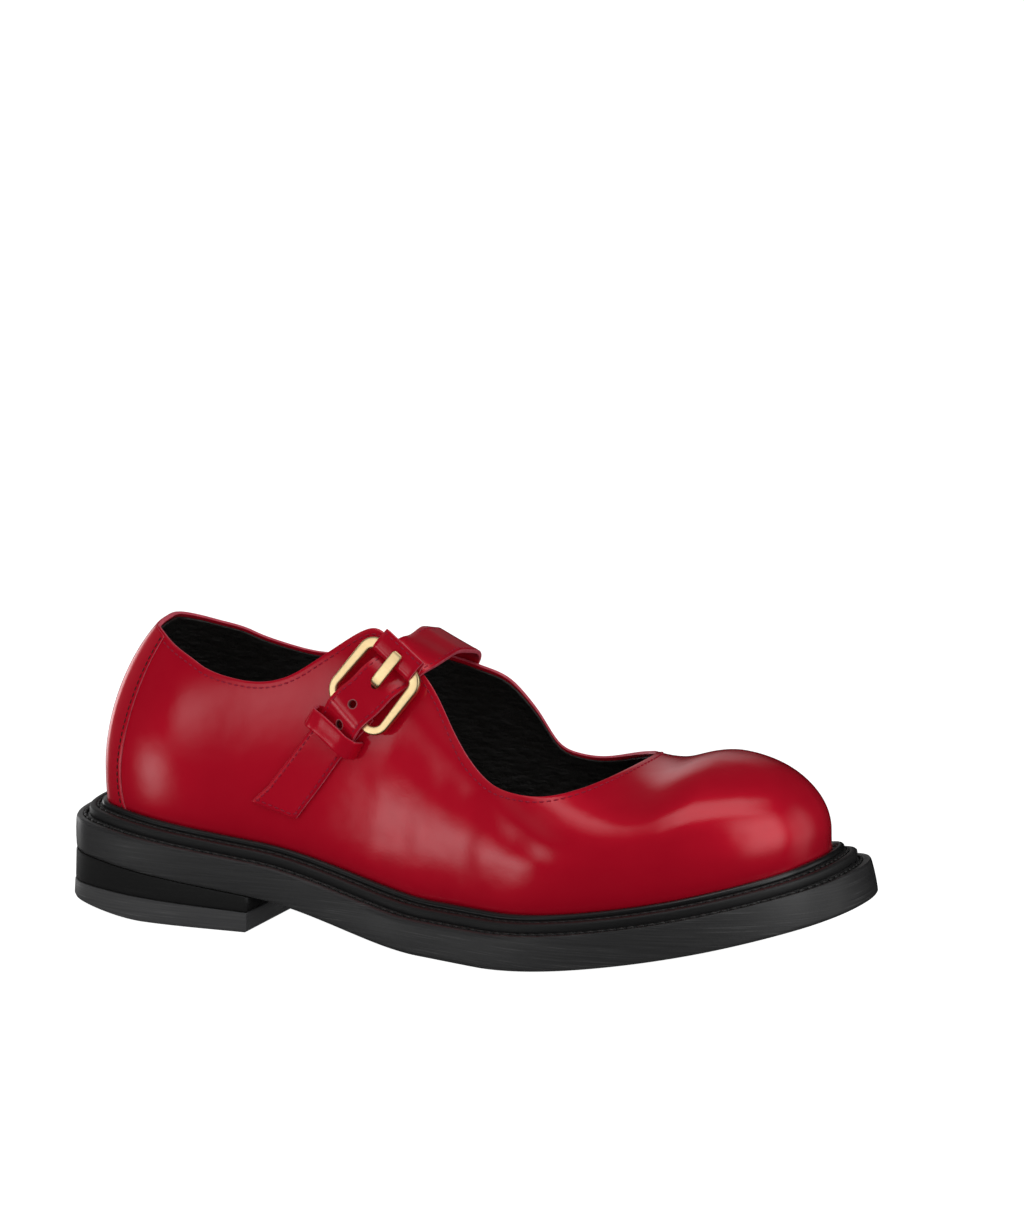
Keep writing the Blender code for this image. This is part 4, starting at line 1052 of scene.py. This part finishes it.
across_tab = np.linspace(TAB_WIDTH / 2.0, -TAB_WIDTH / 2.0, TAB_RIBS)
tab_points = [on_tab(down, w, height) for down, height in open_curve(TAB_STATIONS, TAB_ROWS)
              for w in across_tab]
tab = new_piece("buckle_tab_leather", tab_points, grid_faces(TAB_ROWS, TAB_RIBS), strap_leather, edge_paint)
thicken(tab, TAB_THICKNESS, 0.22, offset=0.0)
print("tab:", len(tab.data.polygons), "faces")

# %% [markdown]
# The outsole is a slab whose wall leans out a little at the toe.  An extruded outline would have
# an upright wall with sharp edges, so it is lofted through rings: each ring is the outline, drawn
# in by a distance and set at a height.  The same rings carve the stitching groove in the slab's
# upper face, so the groove follows the edge exactly.

# %% Outsole slab
SOLE_RING, OUTLINE_POINTS = 400, 1600
bottom_line = even_ring(sole_outline(OUTLINE_POINTS), SOLE_RING)
top_line = even_ring(slab_top_outline(OUTLINE_POINTS), SOLE_RING)


def wall_ring(share, drawn_in):
    """A ring a share of the way up the slab's wall, drawn in by a distance."""
    outline = inset(bottom_line + (top_line - bottom_line) * share, drawn_in)
    low = underside(bottom_line[:, 0])
    return np.column_stack([outline, low + SLAB_THICKNESS * share])


def top_ring(drawn_in, height):
    outline = inset(top_line, drawn_in)
    return np.column_stack([outline, slab_top(top_line[:, 0]) + height])


def plate(rings, partner=0, flip=False):
    """A solid through rings, closed below and above by strips from side to side; the partner
    is the point of a ring that faces its first one."""
    levels, count = len(rings), len(rings[0])
    faces = grid_faces(levels, count, closed=True, flip=flip).tolist()
    for base, turned in ((0, not flip), ((levels - 1) * count, flip)):
        for i in range(count // 2):
            round_strip = dict.fromkeys(k % count for k in (i, i + 1, partner - i - 1, partner - i))
            corners = [base + k for k in round_strip]
            faces.append(corners[::-1] if turned else corners)
    return np.vstack(rings), faces


WALL_PROFILE = (
    # share of the height, drawn in
    (0.0, 1.0), (0.02, 0.45), (0.06, 0.1), (0.13, 0.0), (0.35, -0.12), (0.6, -0.12), (0.85, 0.0),
    (0.93, 0.12), (0.975, 0.4),
)
FLANGE_PROFILE = (
    # drawn in, height over the slab's upper face
    (0.95, 0.0), (1.9, 0.02), (2.35, -0.05), (2.6, -0.45), (3.3, -0.55), (3.9, -0.4), (4.2, 0.0),
    (12.0, 0.0),
)
RUBBER_SHARP = 60.0                      # degrees
rings = [wall_ring(*row) for row in WALL_PROFILE] + [top_ring(*row) for row in FLANGE_PROFILE]
outsole = new_piece("outsole_slab", *plate(rings), slab_rubber, sharp=RUBBER_SHARP)
print("outsole:", len(outsole.data.polygons), "faces")

# %% [markdown]
# The storm welt stands on the slab: a wall, a platform with a second stitched groove, and a
# glossy bead rolled up against the leather to keep water out.  A section carried along a curve
# could make it, but would twist with the sole's rise at the toe.  So each corner of its section,
# a pair of drawn in and height, draws its own ring round the shoe.

# %% Storm welt and its bead
WELT_PROFILE = (
    # drawn in, height
    (4.5, 0.02), (4.38, 0.5), (4.4, 2.2), (4.55, 2.75), (5.0, 3.05), (5.9, 3.15), (6.5, 3.12),
    (6.75, 2.8), (7.3, 2.62), (7.9, 2.8), (8.1, 3.1), (8.6, 3.2), (12.3, 3.2), (12.3, 0.02),
)
BEAD_INSET, BEAD_HEIGHT, BEAD_RADIUS = 9.75, 3.75, 1.25
BEAD_PROFILE = [(BEAD_INSET - BEAD_RADIUS * math.cos(t), BEAD_HEIGHT + BEAD_RADIUS * math.sin(t))
                for t in np.radians(np.arange(0.0, 360.0, 30.0))]
welt = new_piece("storm_welt", *closed_loft([top_ring(*row) for row in WELT_PROFILE]), welt_rubber,
                 sharp=RUBBER_SHARP)
bead = new_piece("welt_bead", *closed_loft([top_ring(*row) for row in BEAD_PROFILE]), bead_rubber)
print("welt:", len(welt.data.polygons), "faces; bead:", len(bead.data.polygons), "faces")

# %% [markdown]
# The heel is two blocks cut straight at the breast.  They could be sliced off one form, but each
# has its own flare and soft edges, so each is lofted from an outline at the bottom to one at the
# top.  The top piece, the part that meets the ground, rises a little at the very back so that
# the heel rolls as it lands.

# %% Heel block and top piece
HEEL_ROLL, HEEL_ROLL_LENGTH = 4.0, 34.0
TOP_PIECE_BACK, TOP_PIECE_BREAST = 9.2, 6.6
HEEL_POINTS, ARC_POINTS, HEEL_GAP = 121, 1201, 0.05
TOP_PIECE_PROFILE = (
    # flare, drawn in, share of the height
    (0.8, 0.9, 0.0), (0.8, 0.3, 0.05), (0.8, 0.0, 0.16), (0.6, 0.0, 0.9), (0.6, 0.15, 0.97), (0.6, 0.4, 1.0),
)
HEEL_PROFILE = ((0.4, 0.35, 0.0), (0.4, 0.1, 0.04), (0.35, 0.0, 0.1), (0.1, 0.0, 0.94), (0.0, 0.25, 1.0))


def heel_line(flare, drawn_in):
    """Open outline from the breast's outer corner, round the back, to the inner corner."""
    turn = sole_turn(HEEL_LENGTH)
    points = outline_at(np.linspace(-turn, turn, ARC_POINTS))
    length = run_length(points)
    points = read_line(points, length, np.linspace(0.0, length[-1], HEEL_POINTS))
    middle = np.array([HEEL_LENGTH / 2.0, 0.0])
    points = middle + (points - middle) * (1.0 + (flare - drawn_in) / middle[0])
    points[:, 0] = np.minimum(points[:, 0], HEEL_LENGTH - drawn_in)
    return points


def joint_height(x):
    return TOP_PIECE_BACK + (TOP_PIECE_BREAST - TOP_PIECE_BACK) * x / HEEL_LENGTH


def ground_height(x):
    return HEEL_ROLL * np.clip(1.0 - x / HEEL_ROLL_LENGTH, 0.0, 1.0) ** 1.5


def heel_piece(name, profile, below, above, finish):
    """A block between two heights; a straight breast closes it in front."""
    rings = []
    for flare, drawn_in, share in profile:
        line = heel_line(flare, drawn_in)
        low, high = below(line[:, 0]), above(line[:, 0])
        rings.append(np.column_stack([line, low + (high - low) * share]))
    return new_piece(name, *plate(rings, HEEL_POINTS - 1, flip=True), finish, sharp=RUBBER_SHARP)


heel = (
    heel_piece("heel_top_piece_rubber", TOP_PIECE_PROFILE, ground_height,
               lambda x: joint_height(x) - HEEL_GAP, top_piece_rubber),
    heel_piece("heel_block_rubber", HEEL_PROFILE, lambda x: joint_height(x) + HEEL_GAP,
               lambda x: underside(x) - HEEL_GAP, heel_rubber),
)
print("heel:", sum(len(piece.data.polygons) for piece in heel), "faces")

# %% [markdown]
# The insole is a thin board covered in black leather.  It lies in the dark of the shoe, so it
# needs no creases of its own: a few rings like the outsole's, set a little above the slab and
# inside the lining, round its edge over and close its face.

# %% Insole
INSOLE_PROFILE = ((14.0, 0.35), (13.95, 0.8), (13.95, 3.1), (14.2, 3.6), (14.9, 3.88), (16.5, 3.9))
insole = new_piece("insole_sock", *plate([top_ring(*row) for row in INSOLE_PROFILE]), insole_leather,
                   sharp=RUBBER_SHARP)
print("insole:", len(insole.data.polygons), "faces")

# %% [markdown]
# A narrow strip of leather covers the seam at the back of the heel.  Two painted lines would
# have no edge to catch the light, so it is a second skin half a millimetre proud of the upper,
# cut between two curved seams.  Its pattern is polar, round the heel's centre: a turn from the
# back and a distance out.

# %% Back strip
BACK_TURNS = (
    # share from the mouth to the feather line, outer seam, inner seam, in degrees from the back
    (0.0, 47.5, 75.0), (0.28, 44.0, 69.0), (0.52, 41.0, 59.0), (0.75, 39.5, 50.0), (1.0, 42.5, 46.0),
)
BACK_ROWS, BACK_RIBS, BACK_THICKNESS = 70, 40, 0.5
MOUTH_MARGIN, FEATHER_MARGIN, BACK_LIFT = 0.25, 0.5, 0.02
dense_mouth = mouth_ring(4 * RING)
heelwards = (SPINE_HEEL, 0.0) - dense_mouth[dense_mouth[:, 0] < SPINE_HEEL]
mouth_turn, mouth_reach = np.degrees(np.arctan2(-heelwards[:, 1], heelwards[:, 0])), np.hypot(*heelwards.T)
order = np.argsort(mouth_turn)
mouth_turn, mouth_reach = mouth_turn[order], mouth_reach[order]
seam_share, *seam_turns = np.array(BACK_TURNS).T
outer_seam, inner_seam = (spline(seam_share, turn) for turn in seam_turns)


def back_pattern(share, turn):
    """Pattern points a share of the way down the back, at a signed turn in degrees."""
    share, turn = np.broadcast_arrays(np.asarray(share, float), np.asarray(turn, float))
    start = np.interp(turn, mouth_turn, mouth_reach) + MOUTH_MARGIN
    reach = start + (PATTERN_RADIUS + FEATHER_MARGIN - start) * share
    angle = np.radians(turn)
    return np.stack([SPINE_HEEL - reach * np.cos(angle), reach * np.sin(angle)], axis=-1).reshape(-1, 2)


down_shares = np.linspace(0.0, 1.0, BACK_ROWS)
across_shares = np.linspace(0.0, 1.0, BACK_RIBS)
turns = (inner_seam(down_shares)[:, None] * across_shares
         - outer_seam(down_shares)[:, None] * (1.0 - across_shares))
back_points = LAST.point(back_pattern(down_shares[:, None], turns), BACK_LIFT)
back_strip = new_piece("back_strip", back_points, grid_faces(BACK_ROWS, BACK_RIBS), red_leather, edge_paint)
thicken(back_strip, BACK_THICKNESS, 0.2, offset=1.0)
print("back strip:", len(back_strip.data.polygons), "faces")

# %% [markdown]
# Hundreds of stitches follow the edges.  Geometry Nodes make each row: a line becomes evenly
# spaced points, each point gets one small thread loop turned along the line, and the loops are
# made real.  The tree has named inputs for the pitch and the thread's size, so one tree serves
# the fine topstitching and the coarse welt stitching.  The row is then baked to a plain mesh.

# %% Stitch tree
def stitch_tree():
    tree = bpy.data.node_groups.new("row of stitches", "GeometryNodeTree")
    for name, side, kind, value in (
            ("Geometry", "INPUT", "Geometry", None), ("Pitch", "INPUT", "Float", 0.0023),
            ("Length", "INPUT", "Float", 0.0018), ("Width", "INPUT", "Float", 0.0006),
            ("Thread", "INPUT", "Material", None), ("Geometry", "OUTPUT", "Geometry", None)):
        made = tree.interface.new_socket(name, in_out=side, socket_type="NodeSocket" + kind)
        if value is not None:
            made.default_value = value
    given, result, line, spots, loop, size, shape, turn, sew, real, soft, paint = (
        tree.nodes.new(kind) for kind in (
            "NodeGroupInput", "NodeGroupOutput", "GeometryNodeMeshToCurve", "GeometryNodeCurveToPoints",
            "GeometryNodeMeshUVSphere", "ShaderNodeCombineXYZ", "GeometryNodeTransform",
            "FunctionNodeAlignRotationToVector", "GeometryNodeInstanceOnPoints",
            "GeometryNodeRealizeInstances", "GeometryNodeSetShadeSmooth", "GeometryNodeSetMaterial"))
    spots.mode, turn.axis = "LENGTH", "X"
    for name, value in (("Segments", 8), ("Rings", 5), ("Radius", 0.5)):
        loop.inputs[name].default_value = value
    for start, out, end, into in (
            (given, "Geometry", line, "Mesh"), (line, "Curve", spots, "Curve"),
            (given, "Pitch", spots, "Length"), (given, "Length", size, "X"),
            (given, "Width", size, "Y"), (given, "Width", size, "Z"),
            (loop, "Mesh", shape, "Geometry"), (size, "Vector", shape, "Scale"),
            (spots, "Tangent", turn, "Vector"), (spots, "Points", sew, "Points"),
            (shape, "Geometry", sew, "Instance"), (turn, "Rotation", sew, "Rotation"),
            (sew, "Instances", real, "Geometry"), (real, "Geometry", soft, "Geometry"),
            (soft, "Geometry", paint, "Geometry"), (given, "Thread", paint, "Material"),
            (paint, "Geometry", result, "Geometry")):
        tree.links.new(start.outputs[out], end.inputs[into])
    return tree


STITCHES = stitch_tree()
STITCH_INPUTS = {item.name: item.identifier for item in STITCHES.interface.items_tree
                 if item.in_out == "INPUT"}


def sew_row(name, points, thread, pitch=2.3, length=1.75, width=0.55, closed=False):
    """A row of stitches along points in millimetres, baked to a mesh."""
    count = len(points)
    row = add_piece(name, points, [(i, (i + 1) % count) for i in range(count if closed else count - 1)])
    maker = row.modifiers.new("stitches", "NODES")
    maker.node_group = STITCHES
    for label, value in (("Pitch", pitch * MM), ("Length", length * MM), ("Width", width * MM),
                         ("Thread", thread)):
        maker[STITCH_INPUTS[label]] = value
    bake(row)


print("stitch tree inputs:", sorted(STITCH_INPUTS))

# %% [markdown]
# Topstitching runs round the mouth, beside the seams at the back, down both edges of the strap
# and the strip, and across the lower end of each.  A drawn line would look flat, so each row is
# laid on the surface that it sews, with half of each thread loop sunk into the leather.

# %% Topstitching on the upper
THREAD_LIFT, SEAM_THREAD_LIFT, MOUTH_STITCH_IN, SEAM_STITCH_IN = 0.04, 0.05, 2.0, 2.2
MOUTH_POINTS, SEAM_POINTS = 1100, 160
EDGE_PROBE, EDGE_CALM = 0.01, 6          # a first step in from the edge, and points averaged each way


def mouth_row(distance, count):
    """A closed line on the leather, a distance in from the mouth's edge."""
    edge, base = mouth_ring(count), foot_ring(count)
    rim = LAST.plain(edge)
    step = LAST.plain(edge + (base - edge) * EDGE_PROBE) - rim
    run = unit(np.roll(rim, -1, axis=0) - np.roll(rim, 1, axis=0))
    step = step - run * np.sum(step * run, axis=1)[:, None]
    share = EDGE_PROBE * distance / np.linalg.norm(step, axis=1)
    share = np.mean([np.roll(share, k) for k in range(-EDGE_CALM, EDGE_CALM + 1)], axis=0)
    return LAST.point(edge + (base - edge) * share[:, None], THREAD_LIFT)


sew_row("stitches_mouth", mouth_row(MOUTH_STITCH_IN, MOUTH_POINTS), red_thread, closed=True)
seam_shares = np.linspace(0.03, 0.99, SEAM_POINTS)
for name, turns in (("stitches_back_outer", SEAM_STITCH_IN - outer_seam(seam_shares)),
                    ("stitches_back_inner", inner_seam(seam_shares) - SEAM_STITCH_IN)):
    sew_row(name, LAST.point(back_pattern(seam_shares, turns), BACK_THICKNESS + SEAM_THREAD_LIFT),
            brown_thread, pitch=2.2, width=0.5)
print("rows on the upper:", [p.name for p in PIECES[-3:]])


# %% Topstitching on the strap, the strip and the tab
STITCH_IN, LONG_ROW_POINTS, SHORT_ROW_POINTS = 1.2, 400, 30
BANDS_SEWN = {
    # band, thickness, shares of the length where the rows start and end, end that is sewn across
    "strap": (strap_band, STRAP_THICKNESS, 0.012, 0.985, 0.012),
    "strip": (strip_band, STRIP_THICKNESS, 0.05, 0.965, 0.965),
}
for label, row_name in (("strap", "a"), ("strip", "a"), ("strap", "b"), ("strip", "b"),
                        ("strip", "end"), ("strap", "end")):
    band, thickness, start, end, across_at = BANDS_SEWN[label]
    out, height = band.width / 2.0 - STITCH_IN, thickness + THREAD_LIFT
    if row_name == "end":
        index = int(round(across_at * (len(band.length) - 1)))
        row = [band.line(offset, height)[index] for offset in np.linspace(-out, out, SHORT_ROW_POINTS)]
    else:
        places = np.linspace(start, end, LONG_ROW_POINTS) * band.length[-1]
        row = read_line(band.line(-out if row_name == "a" else out, height), band.length, places)
    sew_row("stitches_%s_%s" % (label, row_name), row, red_thread)
half_row = TAB_WIDTH / 2.0 - TAB_STITCH_IN
sew_row("stitches_tab", [on_tab(TAB_STITCH_AT, w, TAB_STITCH_HEIGHT + TAB_THICKNESS / 2.0)
                         for w in np.linspace(-half_row, half_row, SHORT_ROW_POINTS)], red_thread)
print("stitch rows:", len([p for p in PIECES if p.name.startswith("stitches")]))

# %% [markdown]
# The welt is sewn with thick waxed thread.  One row lies in the groove of the slab's flange, the
# other in the groove on the welt's platform.  The thread's twist could be modelled, but at this
# size it is lost in the black, so the same tree makes both rows with larger numbers.

# %% Welt stitching
WELT_ROWS = (
    # name, drawn in, height, pitch, length, width
    ("stitches_flange", 3.1, -0.12, 3.3, 3.1, 1.15),
    ("stitches_platform", 7.35, 2.98, 3.0, 2.7, 0.9),
)
for name, drawn_in, height, *thread_size in WELT_ROWS:
    sew_row(name, top_ring(drawn_in, height), black_thread, *thread_size, closed=True)
print("faces in the welt rows:", sum(len(p.data.polygons) for p in PIECES[-2:]))

# %% [markdown]
# Every new piece rides on the imported body, and the imported node that each main one stands
# for is hidden.  A slot names what a piece is made of.  The imported solids stay in the
# simulation, out of sight.

# %% Joining the pieces to the imported shoe
STANDS_FOR = {
    "upper_leather": "upper", "instep_strap": "strap", "buckle_strip_leather": "buckle_strip",
    "keeper": "keeper_loop", "buckle_frame_plated": "buckle_frame", "buckle_prong_plated": "buckle_prong",
    "buckle_tab_leather": "buckle_tab", "outsole_slab": "outsole", "storm_welt": "welt",
    "welt_bead": "storm_rand", "heel_top_piece_rubber": "heel_top_piece",
    "heel_block_rubber": "heel_block", "insole_sock": "insole",
}
body = sorted(frame["bodies"])[0]
for piece in PIECES:
    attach(piece, body)
    if piece.name in STANDS_FOR:
        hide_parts(STANDS_FOR[piece.name])
print("body:", body, "pieces:", len(PIECES))

# %% [markdown]
# The studio: a pale floor, an even white sky and large soft boxes.  The sky gives the leather its
# body colour, but the polish doesn't mirror it, so it can't fog the red.  The floor shows only to
# the camera.  A polished shoe is lit by what it mirrors, so each box is placed by the mark that
# it should leave: its direction is the camera's ray mirrored in the leather at that place.  The
# boxes give nothing but these marks.

# %% Studio floor, sky and soft boxes
scene = bpy.context.scene
SKY_STRENGTH, FLOOR_SIZE = 0.60, 40.0
for setting, value in (("view_transform", "Standard"), ("look", "None"), ("exposure", 0.0), ("gamma", 1.0)):
    setattr(scene.view_settings, setting, value)

scene.world = bpy.data.worlds.new("studio")
scene.world.use_nodes = True
sky = scene.world.node_tree.nodes["Background"]
sky.inputs["Color"].default_value = (1.0, 1.0, 1.0, 1.0)
sky.inputs["Strength"].default_value = SKY_STRENGTH
scene.world.cycles_visibility.glossy = False

bpy.ops.mesh.primitive_plane_add(size=FLOOR_SIZE)
floor = bpy.context.object
floor.name = "studio_floor"
floor.data.materials.append(new_finish(
    "pale studio floor", Base_Color=(0.30, 0.30, 0.30), Roughness=1.0, Specular_IOR_Level=0.0,
    Emission_Color=(1.0, 1.0, 1.0), Emission_Strength=1.0)[0])
floor.visible_glossy = floor.visible_diffuse = floor.visible_shadow = False

SOFT_BOXES = (
    # name, turn, rise, angle wide, angle high, brightness, soft share of the edges
    ("toe_box", 66.0, 24.0, 44.0, 80.0, 1.9, 0.8),
    ("right_box", 108.0, 12.0, 60.0, 70.0, 0.7, 0.8),
    ("top_box", 35.0, 72.0, 62.0, 36.0, 1.6, 0.6),
    ("back_box", 222.0, 23.0, 72.0, 46.0, 0.65, 0.9),
    ("left_top_box", -56.0, 50.0, 50.0, 34.0, 0.5, 0.9),
    ("heel_box", -33.0, 8.0, 22.0, 28.0, 1.5, 1.0),
    ("waist_box", -50.0, -9.0, 32.0, 20.0, 2.3, 1.0),
    ("front_box", -33.0, 34.0, 24.0, 26.0, 0.18, 1.0),
    ("rim_box", -112.0, 3.0, 40.0, 44.0, 2.6, 0.8),
)
BOX_DISTANCE, BOX_AIM = 1.8, 0.04         # metres


def soften(lamp, share):
    """Fade a box towards its edges, over a share of its half-width and half-height."""
    lamp.use_nodes = True
    recipe = Recipe(lamp.node_tree)
    corner = recipe.add("ShaderNodeNewGeometry").outputs["Parametric"]
    place = recipe.add("ShaderNodeSeparateXYZ", Vector=corner)
    fades = []
    for axis in ("X", "Y"):
        from_middle = recipe.math("ABSOLUTE", recipe.math("SUBTRACT", place.outputs[axis], 0.5))
        fades.append(recipe.span(recipe.math("MULTIPLY", from_middle, 2.0), 1.0 - share, 1.0, 1.0, 0.0,
                                 interpolation_type="SMOOTHSTEP"))
    recipe.put(lamp.node_tree.nodes["Emission"], Strength=recipe.math("MULTIPLY", *fades))


def hang_box(name, turn, rise, wide, high, brightness, share, aim=0.0):
    """A soft box at a turn and a rise that faces the shoe; its size is in metres."""
    data = bpy.data.lights.new(name, "AREA")
    data.shape, data.size, data.size_y = "RECTANGLE", wide, high
    data.energy = math.pi * wide * high * brightness
    soften(data, share)
    box = bpy.data.objects.new(name, data)
    stand(box, aim_point + Vector((0.0, 0.0, aim)), math.radians(turn), math.radians(rise), BOX_DISTANCE)
    return box


for name, turn, rise, *angles, brightness, share in SOFT_BOXES:
    wide, high = (2.0 * BOX_DISTANCE * math.tan(math.radians(angle) / 2.0) for angle in angles)
    hang_box(name, turn, rise, wide, high, brightness, share, BOX_AIM).visible_diffuse = False
print("soft boxes:", [row[0] for row in SOFT_BOXES])

# %% [markdown]
# Plated metal shows nothing but its surroundings, and as the sky isn't mirrored it would look like
# lead.  In a studio a white card is held close to it.  Light linking does the same here: one
# wide, soft box is linked to the two metal pieces only, so the leather's polish isn't fogged.

# %% White card for the metal
CARD_TURN, CARD_RISE, CARD_SIDE, CARD_BRIGHTNESS, CARD_SOFT = -27.0, 16.0, 2.4, 1.15, 0.7
card = hang_box("metal_card", CARD_TURN, CARD_RISE, CARD_SIDE, CARD_SIDE, CARD_BRIGHTNESS, CARD_SOFT)
metal_pieces = bpy.data.collections.new("metal_pieces")
for piece in (buckle_frame, prong):
    metal_pieces.objects.link(piece)
card.light_linking.receiver_collection = metal_pieces
